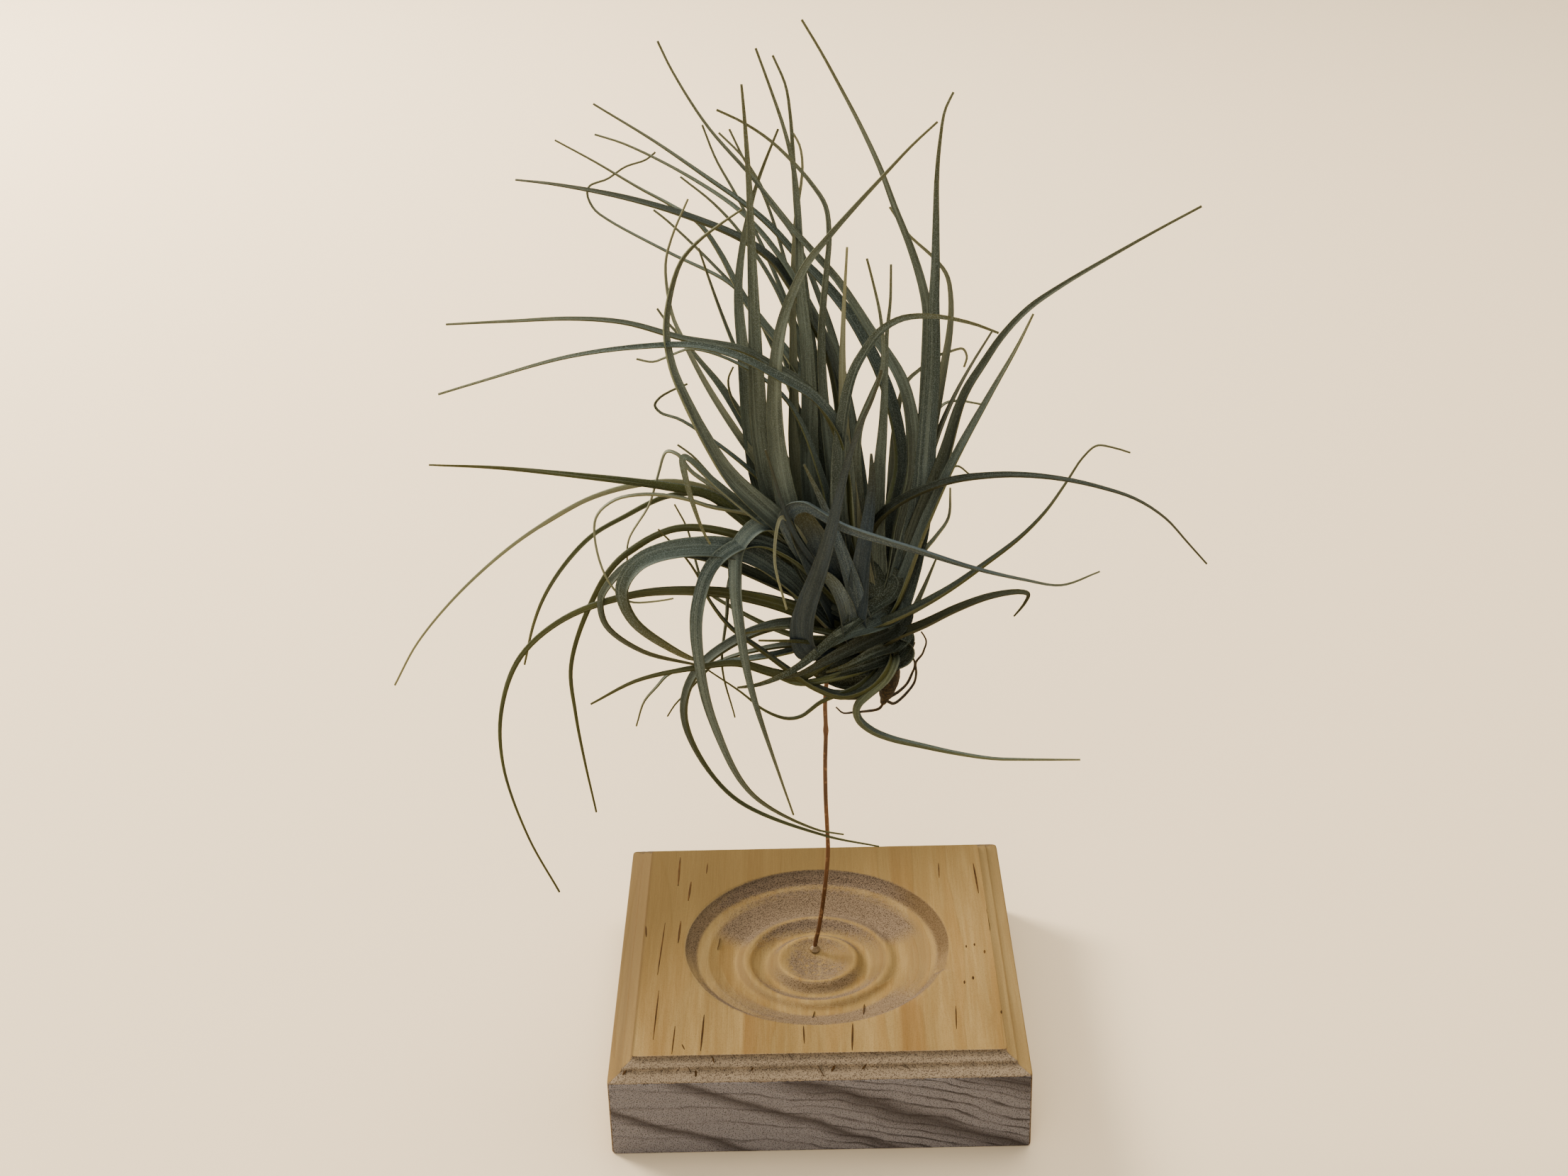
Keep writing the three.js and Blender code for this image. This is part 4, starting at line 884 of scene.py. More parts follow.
# %% [markdown]
# The wire is one smooth length of coated metal. Its path is a curve through a few points, the
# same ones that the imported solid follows, and a Geometry Nodes tree sweeps a circle along it. The
# circle's size comes from an attribute on the path, so the one small lump in the coat, left of
# the wire a little under the plant, is part of the same sweep.

# %% Curves through points


def through(points, share=16):
    """A smooth line through points, as a centripetal Catmull-Rom curve."""
    points = [np.array(p, float) for p in points]
    points = [2 * points[0] - points[1], *points, 2 * points[-1] - points[-2]]
    line = []
    for i in range(1, len(points) - 2):
        p0, p1, p2, p3 = points[i - 1:i + 3]
        d0, d1, d2 = (np.sqrt(np.linalg.norm(b - a)) for a, b in ((p0, p1), (p1, p2), (p2, p3)))
        t1 = ((p1 - p0) / d0 - (p2 - p0) / (d0 + d1) + (p2 - p1) / d1) * d1
        t2 = ((p2 - p1) / d1 - (p3 - p1) / (d1 + d2) + (p3 - p2) / d2) * d1
        for t in np.arange(share) / share:
            line.append(p1 + t1 * t + (3 * (p2 - p1) - 2 * t1 - t2) * t * t
                        + (2 * (p1 - p2) + t1 + t2) * t ** 3)
    line.append(points[-2])
    return np.array(line)


def run_along(line):
    """How far along a line each of its points is."""
    return np.concatenate([[0], np.cumsum(np.linalg.norm(np.diff(line, axis=0), axis=1))])


def spaced(line, places):
    """Points of a line at shares of its length."""
    run = run_along(line)
    return np.stack([np.interp(np.array(places) * run[-1], run, line[:, k]) for k in range(3)], 1)


def path_mesh(name, lines, values):
    """Lines as a mesh of edges, with a named attribute for each list of values."""
    mesh = bpy.data.meshes.new(name)
    points, edges = [], []
    for line in lines:
        start = len(points)
        points.extend(tuple(p) for p in line)
        edges.extend((start + i, start + i + 1) for i in range(len(line) - 1))
    mesh.from_pydata(points, edges, [])
    for label, numbers in values.items():
        flat = np.concatenate([np.atleast_1d(n) for n in numbers]).astype(np.float32)
        kind = "FLOAT_VECTOR" if flat.ndim == 2 else "FLOAT"
        made = mesh.attributes.new(label, kind, "POINT")
        made.data.foreach_set("vector" if flat.ndim == 2 else "value", flat.ravel())
    return mesh


print("a curve through 3 points has", len(through([(0, 0, 0), (1, 0, 0), (1, 1, 0)])), "points")

# %% The bar tree
bar_tree, given, result = new_tree(
    "bar along a path", "GeometryNodeTree",
    [("Paths", "Geometry", None), ("Sides", "Int", 12), ("Unevenness", "Float", 0.0),
     ("Seed", "Float", 3.0), ("Finish", "Material", None)],
    [("Bars", "Geometry")])
bar_curve = add(bar_tree, "GeometryNodeMeshToCurve", {"Mesh": given["Paths"]})
bar_radius = add(bar_tree, "GeometryNodeInputNamedAttribute", {"Name": "radius_here"},
                 data_type="FLOAT").outputs["Attribute"]
bar_circle = add(bar_tree, "GeometryNodeCurvePrimitiveCircle", {
    "Resolution": given["Sides"], "Radius": 1.0})
bar_skin = add(bar_tree, "GeometryNodeCurveToMesh", {
    "Curve": bar_curve.outputs["Curve"], "Profile Curve": bar_circle.outputs["Curve"],
    "Scale": bar_radius, "Fill Caps": True})
bar_noise = add(bar_tree, "ShaderNodeTexNoise", {
    "W": given["Seed"], "Scale": 500.0, "Detail": 2.0}, noise_dimensions="4D")
bar_push = maths(bar_tree, "MULTIPLY", maths(
    bar_tree, "SUBTRACT", bar_noise.outputs["Fac"], 0.5), given["Unevenness"])
bar_normal = add(bar_tree, "GeometryNodeInputNormal").outputs["Normal"]
bar_moved = add(bar_tree, "GeometryNodeSetPosition", {
    "Geometry": bar_skin.outputs["Mesh"], "Offset": scaled(bar_tree, bar_normal, bar_push)})
bar_whole = add(bar_tree, "GeometryNodeRealizeInstances", {
    "Geometry": bar_moved.outputs["Geometry"]})
bar_done = add(bar_tree, "GeometryNodeSetMaterial", {
    "Geometry": bar_whole.outputs["Geometry"], "Material": given["Finish"]})
bar_tree.links.new(bar_done.outputs["Geometry"], result["Bars"])
print("bar tree has", len(bar_tree.nodes), "nodes")

# %% The wire's path
WIRE_RADIUS = 0.5
WIRE_SOCKET = 9.0
BEAD_HEIGHT = 1.1
WIRE_LINE = [
    (1150, 1340, 5), (1155, 1310, 4.6), (1160, 1280, 4.2), (1165, 1240, 3.8), (1168, 1200, 3.4),
    (1167, 1170, 3.2), (1165, 1130, 3), (1164, 1080, 2.8), (1165, 1030, 2.6), (1164, 990, 2.4),
    (1168, 955, 2), (1184, 922, 1.5), (1210, 896, 1),
]
LUMP_PLACE = spot(1162, 1030, 2.6)
LUMP_REACH = 0.9 * MM
LUMP_GAIN = 0.45  # of the wire's radius, at the lump
COAT_FIT = 0.95  # of the wire's radius, because unevenness pushes the coat out in places
WIRE_STATIONS = 150
wire_places = [spot(*here) for here in WIRE_LINE]
foot = wire_places[0]
foot_radius = math.hypot(foot.x, foot.y) / MM
foot_height = BLOCK_THICK + np.interp(foot_radius, *zip(*CARVING))
buried = Vector((foot.x, foot.y, (foot_height - WIRE_SOCKET) * MM))
neck = Vector((foot.x, foot.y, (foot_height + BEAD_HEIGHT) * MM))
wire_line = through([buried, neck, *wire_places[1:]])
wire_line = spaced(wire_line, np.linspace(0, 1, WIRE_STATIONS))
near_lump = np.linalg.norm(wire_line - np.array(LUMP_PLACE), axis=1) / LUMP_REACH
wire_sizes = WIRE_RADIUS * MM * (COAT_FIT + LUMP_GAIN * np.exp(-near_lump ** 2))
print("wire is", round(run_along(wire_line)[-1] / MM, 1), "mm long,", WIRE_SOCKET, "of it buried")

# %% The coat, and the wire in place
coat, tree, shader = finish_named("brown coat")
place = object_place(tree)
rub = use_group(tree, fibres, {"Vector": place, "Stretch": (1, 1, 0.2), "Scale": 1500.0})
worn = use_group(tree, specks, {"Vector": place, "Scale": 1100.0, "Rarity": 0.6})["Mask"]
coat_colour = tinted(
    tree, blend(tree, rub["Broad"], paint("#6a4a31"), paint("#4b3320")), (worn, 0.6, "#836649"))
tree.links.new(coat_colour, shader.inputs["Base Color"])
tree.links.new(plus(tree, 0.35, rub["Streaks"], 0.25), shader.inputs["Roughness"])
tree.links.new(raised(tree, rub["Streaks"], 0.03), shader.inputs["Normal"])

wire = grow("coated_wire", path_mesh("wire path", [wire_line], {"radius_here": [wire_sizes]}),
            bar_tree, {"Sides": 14, "Unevenness": 0.06 * MM, "Finish": coat})
wire.data.shade_smooth()
seat(wire, "brown_wire", "wire")

# %% [markdown]
# A blob of glue holds the wire's foot. It ran out unevenly before it set, so it is turned like a
# small dome and then pushed in and out by noise, and a subdivision rounds it off.

# %% The shape of the glue
BEAD_PROFILE = [(1.3, -0.25), (1.32, 0.1), (1.15, 0.4), (0.9, 0.7), (0.7, 1.0), (0.42, 1.12)]
BEAD_POINTS = 20
bead_loops, bead_faces = [], []
bead_floor = foot_height + 0.1
for radius, height in BEAD_PROFILE:
    for k in range(BEAD_POINTS):
        angle = 2 * math.pi * k / BEAD_POINTS
        way = Vector((math.cos(angle), math.sin(angle), 0))
        uneven = noise.noise(way * 1.3 + Vector((0, 0, height))) * 0.3 - 0.04
        out = way * radius * (1 + min(uneven, 0.05))
        bead_loops.append((foot.x + out.x * MM, foot.y + out.y * MM, (bead_floor + height) * MM))
for i in range(len(BEAD_PROFILE) - 1):
    for k in range(BEAD_POINTS):
        after = (k + 1) % BEAD_POINTS
        a, b = i * BEAD_POINTS, (i + 1) * BEAD_POINTS
        bead_faces.append((a + k, a + after, b + after, b + k))
bead_faces.append(tuple(reversed(range(BEAD_POINTS))))
bead_faces.append(tuple(range(len(bead_loops) - BEAD_POINTS, len(bead_loops))))
glue_blob = place_mesh("glue_blob", bead_loops, bead_faces)
rounder = glue_blob.modifiers.new("round", "SUBSURF")
rounder.levels = rounder.render_levels = 2
print("glue stands", round(foot_radius, 1), "mm from the block's axis")

# %% The glue finish
glue, tree, shader = finish_named("dried glue")
place = object_place(tree)
bubbles = use_group(tree, specks, {"Vector": place, "Scale": 2400.0, "Rarity": 0.55})["Mask"]
cloud = use_group(tree, fibres, {"Vector": place, "Scale": 900.0})["Broad"]
glue_colour = tinted(
    tree, blend(tree, cloud, paint("#77654b"), paint("#544330")), (bubbles, 0.5, "#85745b"))
tree.links.new(glue_colour, shader.inputs["Base Color"])
tree.links.new(raised(tree, bubbles, 0.04), shader.inputs["Normal"])
shader.inputs["Roughness"].default_value = 0.5
shader.inputs["Specular IOR Level"].default_value = 0.25
glue_blob.data.materials.append(glue)
seat(glue_blob, "glue", "glue_bead")

# %% [markdown]
# The plant is a short stem with about a hundred narrow blades, and what makes it this plant is
# where each blade goes. Every blade that shows was traced in the photograph as a midline and
# given a depth near the stem, halfway and at the tip, from what it passes in front of or behind.
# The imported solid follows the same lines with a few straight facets; here they are followed
# closely.

# %% The stem's line, and what a blade is
STEM_LINE = [(1250, 940), (1245, 916), (1240, 880), (1226, 838), (1210, 796), (1198, 756)]
STEM_RADII = [2.6, 4.4, 6.6, 7.8, 5.6, 2]
stem_line = through([spot(u, v, 0) for u, v in STEM_LINE], share=40)


class Blade:
    """How far up the stem it grows, its width, the angle between its upper face and the viewer,
    its depth near the stem, halfway and at the tip, its midline from base to tip, and how
    quickly it narrows."""

    def __init__(self, stem, wide, face, depth, line, taper=1.65):
        self.stem = stem
        self.wide = wide
        self.face = face
        self.depth = depth
        self.line = line
        self.taper = taper


print("the stem is", round(run_along(stem_line)[-1] / MM, 1), "mm long")

# %% [markdown]
# To the left long blades leave the foot of the plant, some level, some hooked and some hanging
# down. They are traced first, because they set the outline of that side.

# %% Long sweeps to the left and down
BLADES = {
    "left_level": Blade(0.45, 4.5, 110, (-3, -6, -14), [
        (1165, 838), (1100, 782), (1035, 727), (1000, 702), (940, 689), (820, 673), (700, 660),
        (605, 655)], 0.9),
    "left_falling": Blade(0.4, 3.6, 110, (2, 4, 16), [
        (1150, 815), (1070, 737), (1020, 700), (950, 681), (850, 697), (750, 750), (660, 824),
        (590, 905), (557, 966)], 1.89),
    "left_falling_inner": Blade(0.5, 2.4, 105, (3, 8, 22), [
        (1160, 810), (1095, 760), (1040, 730), (1000, 700), (945, 700), (880, 730), (837, 755),
        (800, 793), (770, 838), (753, 880), (740, 937)], 1),
    "left_hanging": Blade(0.35, 2.9, 110, (-2, -4, 10), [
        (1160, 840), (1100, 775), (1045, 758), (980, 746), (940, 751), (875, 790), (833, 855),
        (806, 940), (812, 1005), (824, 1070), (841, 1145)], 1.36),
    "left_hook_wide": Blade(0.3, 7, 50, (-5, -14, -20), [
        (1180, 890), (1140, 855), (1110, 825), (1045, 785), (960, 780), (905, 798), (883, 832),
        (897, 873), (950, 914), (985, 933)], 0.49),
    "left_hook_thin": Blade(0.3, 3.8, 60, (-3, -8, -16), [
        (1100, 830), (1000, 790), (930, 782), (885, 801), (857, 830), (849, 848), (857, 882),
        (905, 917), (985, 939)], 0.69),
    "left_lowest": Blade(0.2, 7.2, 118, (-4, -10, -6), [
        (1190, 905), (1130, 870), (1060, 848), (1000, 838), (900, 840), (800, 872), (735, 927),
        (708, 1000), (710, 1080), (745, 1180), (789, 1258)], 2.45),
    "strap_outer": Blade(0.3, 4.6, 30, (-6, -22, -14), [
        (1180, 850), (1110, 785), (1060, 768), (1010, 797), (987, 860), (990, 940), (1010, 1022),
        (1062, 1120), (1150, 1170), (1190, 1178)], 0.91),
    "strap_inner": Blade(0.35, 7.8, 40, (-5, -18, -20), [
        (1185, 840), (1142, 790), (1110, 760), (1075, 745), (1046, 772), (1041, 820), (1047, 890),
        (1061, 970), (1100, 1095), (1119, 1150)], 1.49),
    "low_bow": Blade(0.2, 4.3, 60, (-4, -12, -16), [
        (1180, 890), (1100, 885), (1030, 912), (982, 953), (967, 1003), (985, 1062), (1040, 1128),
        (1160, 1178), (1240, 1195)], 1.07),
    "low_left_long": Blade(0.6, 4.4, 120, (-2, -12, -20), [
        (1264, 856), (1257, 877), (1222, 902), (1170, 935), (1130, 958), (1090, 952), (1040, 938),
        (985, 943), (900, 960), (833, 993)], 0.95),
    "low_left_bent": Blade(0.15, 2.6, 60, (4, 5, 7), [
        (1190, 905), (1090, 925), (985, 941), (945, 950), (925, 970), (908, 990),
        (897, 1024)], 1.13),
    "low_left_short": Blade(0.15, 3, 60, (5, 8, 12), [
        (1120, 910), (1010, 935), (990, 953), (970, 975), (952, 993), (941, 1010)], 1.5),
    "low_hanging": Blade(0.4, 2.6, 40, (3, 5, 8), [
        (1170, 850), (1100, 790), (1050, 780), (1030, 820), (1025, 870), (1018, 940),
        (1036, 1012)], 1.2),
    "low_rising": Blade(0.15, 4.4, 75, (-6, -12, -8), [
        (1255, 940), (1232, 968), (1190, 984), (1150, 972), (1110, 945), (1070, 915), (1030, 885),
        (1000, 845), (985, 812), (965, 783), (929, 746)], 1.4),
    "low_rising_short": Blade(0.3, 2.6, 110, (5, 12, 20), [
        (1130, 900), (1030, 855), (995, 830), (983, 795), (970, 745), (952, 711)], 1.3),
    "heart_thread": Blade(0.6, 2, 60, (-6, -20, -24), [
        (1160, 800), (1120, 742), (1101, 731), (1093, 790), (1110, 860)]),
    "thread_loop": Blade(0.45, 2.2, 60, (-3, -8, -12), [
        (1150, 790), (1070, 730), (1000, 714), (965, 703), (910, 697), (865, 706), (839, 733),
        (852, 810), (885, 848), (925, 849), (950, 845)], 1.62),
    "thread_falling": Blade(0.5, 2.4, 60, (2, -4, -2), [
        (1150, 800), (1070, 738), (1010, 690), (975, 665), (956, 641), (940, 637), (927, 672),
        (915, 712), (886, 762), (884, 803)], 1.65),
    "left_short": Blade(0.5, 3, 60, (2, 4, 6), [
        (1150, 790), (1060, 720), (1010, 678), (978, 643), (956, 627)]),
    "left_folded": Blade(0.5, 4.5, 60, (-5, -14, -20), [
        (1155, 800), (1070, 735), (1010, 685), (965, 646), (968, 675), (990, 745),
        (1002, 768)], 1.0),
}
print(len(BLADES), "blades so far")

# %% [markdown]
# At the foot the oldest blades wrap round the stem, one over another, and hide where the others
# grow from.

# %% Broad bases wrapped round the foot
BLADES |= {
    "wrap_broad": Blade(0.85, 3.6, 20, (-4, -14, -16), [
        (1264, 820), (1256, 841), (1230, 858), (1190, 890), (1120, 945), (1070, 966),
        (1040, 970)], 0.9),
    "wrap_high": Blade(0.25, 4, 130, (-8, -12, -18), [
        (1200, 900), (1110, 885), (1050, 893)]),
    "wrap_middle": Blade(0.2, 4.2, 120, (-7, -12, -16), [
        (1210, 915), (1130, 905), (1070, 903)]),
    "wrap_under": Blade(0.1, 4, 120, (-6, -10, -14), [
        (1220, 945), (1130, 965), (1090, 952), (1040, 938), (1000, 935)]),
    "wrap_thread": Blade(0.05, 2, 90, (-6, -8, -10), [
        (1210, 968), (1158, 990), (1130, 1010), (1110, 1013), (1080, 1002), (1045, 975),
        (1000, 945)], 1.4),
}
print(len(BLADES), "blades so far")

# %% [markdown]
# In front a few blades lie over the heart of the plant or curl across it. They cover parts of
# the others, so their depths matter more than anywhere else.

# %% The front of the plant
BLADES |= {
    "scroll": Blade(0.35, 4.6, 30, (-2, -24, -18), [
        (1200, 885), (1172, 835), (1140, 785), (1118, 750), (1110, 728), (1119, 714), (1137, 711),
        (1158, 722), (1188, 740), (1240, 758), (1298, 776), (1375, 801), (1445, 818), (1498, 826),
        (1552, 807)], 0.96),
    "scroll_base": Blade(0.45, 9.5, 0, (1, -8, -13), [
        (1206, 878), (1179, 836), (1159, 797), (1144, 766), (1132, 740), (1122, 717)], 0.22),
    "front": Blade(0.3, 7.5, 10, (-9, -26, -38), [
        (1166, 914), (1146, 916), (1136, 898), (1135, 876), (1142, 845), (1156, 805), (1171, 755),
        (1184, 700), (1196, 650), (1214, 600), (1232, 560), (1244, 522)], 1.5),
    "heart_thumb": Blade(0.3, 6.5, 10, (-10, -16, -15), [
        (1194, 886), (1189, 868), (1184, 849), (1176, 831), (1164, 816), (1147, 806)], 0.45),
    "heart_short": Blade(0.5, 5.8, -5, (-9, -12, -7), [
        (1206, 876), (1211, 840), (1215, 800), (1220, 765), (1226, 725), (1230, 680),
        (1229, 640)], 0.8),
    "heart_point": Blade(0.5, 4, 120, (-5, -17, -22), [
        (1180, 830), (1130, 770), (1110, 730), (1090, 665), (1080, 634)]),
    "heart_left": Blade(0.55, 5.5, 10, (-9, -13, -8), [
        (1212, 872), (1205, 838), (1194, 800), (1182, 765), (1168, 728), (1152, 692),
        (1134, 655)], 1.1),
    "wrap_front": Blade(0.65, 7, 20, (-2, -13, -15), [
        (1266, 866), (1259, 885), (1229, 901), (1180, 925), (1130, 950), (1105, 957)], 1.1),
    "wrap_foot": Blade(0.5, 6.5, 20, (-1, -11, -12), [
        (1268, 892), (1259, 911), (1231, 923), (1195, 940), (1165, 948)], 1.1),
    "wrap_silver": Blade(0.75, 7.8, 10, (-3, -13, -13), [
        (1258, 850), (1252, 868), (1230, 882), (1192, 896), (1160, 916), (1138, 936)], 0.9),
    "wrap_low": Blade(0.4, 6, 20, (0, -8, -8), [
        (1270, 902), (1263, 919), (1244, 931), (1213, 942), (1175, 953), (1150, 962)], 0.9),
    "wrap_inner": Blade(0.3, 10, 0, (1, -1, -2), [
        (1262, 908), (1230, 923), (1190, 934), (1140, 946)], 0.5),
    "wrap_bowl": Blade(0.15, 6, 60, (-1, -3, -5), [
        (1266, 918), (1258, 942), (1243, 967), (1213, 983), (1170, 980), (1137, 958)], 0.7),
    "wrap_hollow": Blade(0.1, 7.5, 0, (4, 5, 4), [
        (1258, 934), (1225, 956), (1186, 961), (1146, 951)], 0.8),
}
print(len(BLADES), "blades so far")

# %% [markdown]
# To the upper left the blades fan out and arch over, thin ones between broad ones, and a few
# close into loops.

# %% Arches to the upper left
BLADES |= {
    "big_loop": Blade(0.5, 7.4, 40, (-4, -24, -18), [
        (1170, 810), (1095, 740), (1030, 680), (1000, 635), (962, 560), (945, 515), (938, 456),
        (958, 373), (981, 344), (1010, 321), (1047, 296)], 1.17),
    "thin_loop": Blade(0.5, 3.4, 40, (2, -2, 6), [
        (1160, 790), (1110, 710), (1062, 645), (998, 547), (960, 473), (948, 444), (939, 375),
        (948, 335), (971, 281)], 1.45),
    "olive_broad": Blade(0.5, 9, 20, (4, 10, 18), [
        (1160, 810), (1120, 730), (1090, 670), (1056, 610), (1016, 546), (985, 507), (960, 475),
        (940, 453), (927, 435)], 1.5),
    "curl_low": Blade(0.5, 2.5, 60, (3, -4, 4), [
        (1150, 770), (1085, 690), (1030, 640), (960, 592), (932, 582), (924, 572), (930, 562),
        (948, 551), (970, 542)], 1.3),
    "curl_small": Blade(0.5, 3, 60, (5, 8, 10), [
        (1165, 810), (1115, 720), (1065, 620), (1032, 560), (1028, 535), (1035, 518)], 1.3),
    "curl_left": Blade(0.6, 3.2, 60, (-3, -5, -8), [
        (1185, 810), (1160, 680), (1110, 565), (1040, 512), (975, 492), (948, 500), (921, 510),
        (898, 506)]),
    "arch_high": Blade(0.65, 4.1, 70, (-3, -14, -14), [
        (1205, 830), (1190, 740), (1188, 650), (1168, 590), (1130, 543), (1089, 518), (1047, 495),
        (965, 479), (882, 456), (811, 450), (720, 453), (629, 457)], 1.15),
    "arch_low": Blade(0.65, 4.3, 60, (-5, -20, -28), [
        (1210, 830), (1200, 740), (1195, 660), (1181, 605), (1145, 560), (1096, 532), (1040, 504),
        (985, 489), (902, 490), (799, 504), (674, 539), (618, 556)], 1.35),
    "fan_1": Blade(0.7, 6, 60, (1, 8, 20), [
        (1208, 820), (1190, 740), (1185, 650), (1180, 570), (1165, 500), (1140, 450), (1110, 400),
        (1089, 371), (1047, 340), (965, 305), (882, 280), (782, 260), (727, 253)], 0.98),
    "fan_loop": Blade(0.65, 2.8, 60, (3, 16, 30), [
        (1185, 815), (1150, 730), (1130, 620), (1100, 490), (1056, 427), (1027, 398), (944, 356),
        (857, 309), (838, 294), (829, 274), (832, 263), (857, 253), (882, 236), (911, 226),
        (925, 215)], 1.91),
    "fan_2": Blade(0.65, 5.9, 60, (3, 14, 24), [
        (1195, 820), (1165, 740), (1160, 650), (1140, 560), (1110, 503), (1085, 470), (1060, 440),
        (1039, 405), (1014, 356), (985, 315), (944, 288), (902, 265), (840, 228),
        (783, 197)], 1.55),
    "fan_3": Blade(0.75, 4.7, 60, (2, 10, 14), [
        (1218, 815), (1205, 730), (1200, 630), (1182, 530), (1150, 450), (1120, 395), (1101, 365),
        (1072, 327), (1039, 294), (965, 245), (882, 203), (839, 189)], 1.53),
    "fan_4": Blade(0.75, 5.8, 60, (3, 14, 22), [
        (1235, 815), (1248, 730), (1265, 650), (1250, 560), (1205, 460), (1160, 400), (1122, 361),
        (1089, 323), (1047, 286), (1006, 257), (923, 199), (837, 146)], 1.32),
    "fan_thin": Blade(0.7, 4.4, 50, (5, 20, 26), [
        (1190, 815), (1160, 720), (1145, 580), (1105, 430), (1047, 332), (1006, 286),
        (960, 249)], 1.4),
    "fan_5": Blade(0.7, 6, 30, (-2, 4, -6), [
        (1245, 830), (1265, 740), (1285, 650), (1272, 545), (1225, 465), (1180, 395), (1151, 361),
        (1118, 323), (1089, 286), (1060, 249), (998, 178), (948, 99), (928, 58)], 1.92),
    "fan_thread": Blade(0.7, 3.2, 50, (6, 22, 30), [
        (1200, 815), (1175, 700), (1140, 520), (1090, 380), (1039, 276), (1010, 224),
        (991, 176)], 1.45),
    "fan_back": Blade(0.75, 4.4, 40, (6, 20, 28), [
        (1222, 810), (1215, 720), (1200, 600), (1175, 480), (1140, 380), (1118, 330), (1085, 285),
        (1070, 255), (1047, 220), (1014, 187)], 1.59),
    "fan_back_thin": Blade(0.7, 3.7, 40, (8, 26, 34), [
        (1205, 810), (1180, 720), (1150, 560), (1120, 420), (1095, 325), (1075, 270), (1050, 225),
        (1029, 182)], 1.5),
    "fan_fine": Blade(0.7, 2.7, 50, (8, 20, 24), [
        (1205, 800), (1170, 700), (1130, 590), (1085, 480), (1056, 424), (1034, 402), (985, 352),
        (940, 310), (922, 296)], 1.33),
    "fan_drop": Blade(0.6, 2.7, 50, (6, 14, 18), [
        (1185, 800), (1140, 720), (1085, 600), (1050, 520), (1035, 487), (1015, 435), (1000, 392),
        (990, 362), (986, 350)], 1.08),
}
print(len(BLADES), "blades so far")

# %% [markdown]
# The youngest blades stand nearly upright in the middle.

# %% Upright blades
BLADES |= {
    "upright_1": Blade(0.45, 6.4, 20, (-4, -12, -8), [
        (1160, 830), (1118, 765), (1085, 690), (1072, 620), (1066, 540), (1060, 394), (1058, 332),
        (1056, 265), (1050, 166), (1046, 119)], 1.1),
    "upright_2": Blade(0.55, 6.5, 20, (1, 0, 6), [
        (1185, 830), (1152, 750), (1140, 660), (1140, 560), (1136, 480), (1128, 400), (1126, 323),
        (1124, 282), (1118, 232), (1106, 182), (1085, 120), (1066, 68)], 1.51),
    "upright_3": Blade(0.6, 6.6, 30, (3, 6, 12), [
        (1195, 825), (1168, 750), (1158, 660), (1150, 570), (1140, 480), (1130, 380), (1124, 307),
        (1120, 250), (1115, 166), (1108, 120), (1090, 78)], 1.52),
    "upright_4": Blade(0.55, 4.8, 30, (4, 12, 16), [
        (1175, 820), (1138, 750), (1120, 650), (1118, 540), (1118, 400), (1122, 310), (1130, 260),
        (1132, 230), (1128, 205), (1119, 188)], 1.5),
    "upright_5": Blade(0.5, 6.2, 20, (0, 0, 8), [
        (1165, 825), (1110, 760), (1070, 680), (1056, 600), (1048, 500), (1042, 440), (1041, 400),
        (1047, 345), (1055, 305), (1064, 270), (1076, 236), (1098, 182)], 1.25),
    "hooked": Blade(0.65, 3.6, 30, (-1, 2, -6), [
        (1200, 815), (1180, 740), (1170, 650), (1160, 560), (1157, 480), (1160, 430), (1166, 373),
        (1169, 332), (1164, 290), (1143, 257), (1118, 228), (1085, 197), (1047, 172),
        (1011, 155)], 1.45),
    "crossing": Blade(0.5, 6.4, 20, (-5, -15, -12), [
        (1165, 825), (1122, 750), (1098, 660), (1090, 570), (1095, 490), (1104, 446), (1121, 402),
        (1139, 368), (1168, 333), (1202, 295), (1246, 248), (1287, 205), (1323, 172)], 1.32),
    "middle_tall": Blade(0.75, 5.6, 15, (-4, -10, -14), [
        (1215, 830), (1203, 750), (1196, 690), (1191, 640), (1188, 560), (1188, 500), (1190, 440),
        (1195, 349)], 1.5),
    "middle_bent": Blade(0.75, 4.5, 10, (-3, -8, -6), [
        (1222, 830), (1212, 740), (1207, 640), (1212, 600), (1228, 560), (1243, 525), (1246, 495),
        (1242, 446), (1232, 400), (1223, 365)], 1.68),
    "middle_right": Blade(0.7, 5, 0, (-2, -4, 2), [
        (1232, 830), (1235, 740), (1240, 660), (1245, 600), (1248, 540), (1251, 469), (1256, 425),
        (1257, 373)], 1.55),
    "arch_right": Blade(0.7, 5.1, -20, (-4, -16, -22), [
        (1210, 830), (1190, 750), (1186, 660), (1192, 580), (1204, 527), (1220, 496), (1242, 467),
        (1273, 449), (1318, 446), (1371, 456), (1409, 470)], 1.17),
}
print(len(BLADES), "blades so far")

# %% [markdown]
# On the right they rise, bow outwards and bend over. The lowest one turns round under the foot
# before it runs out to the right.

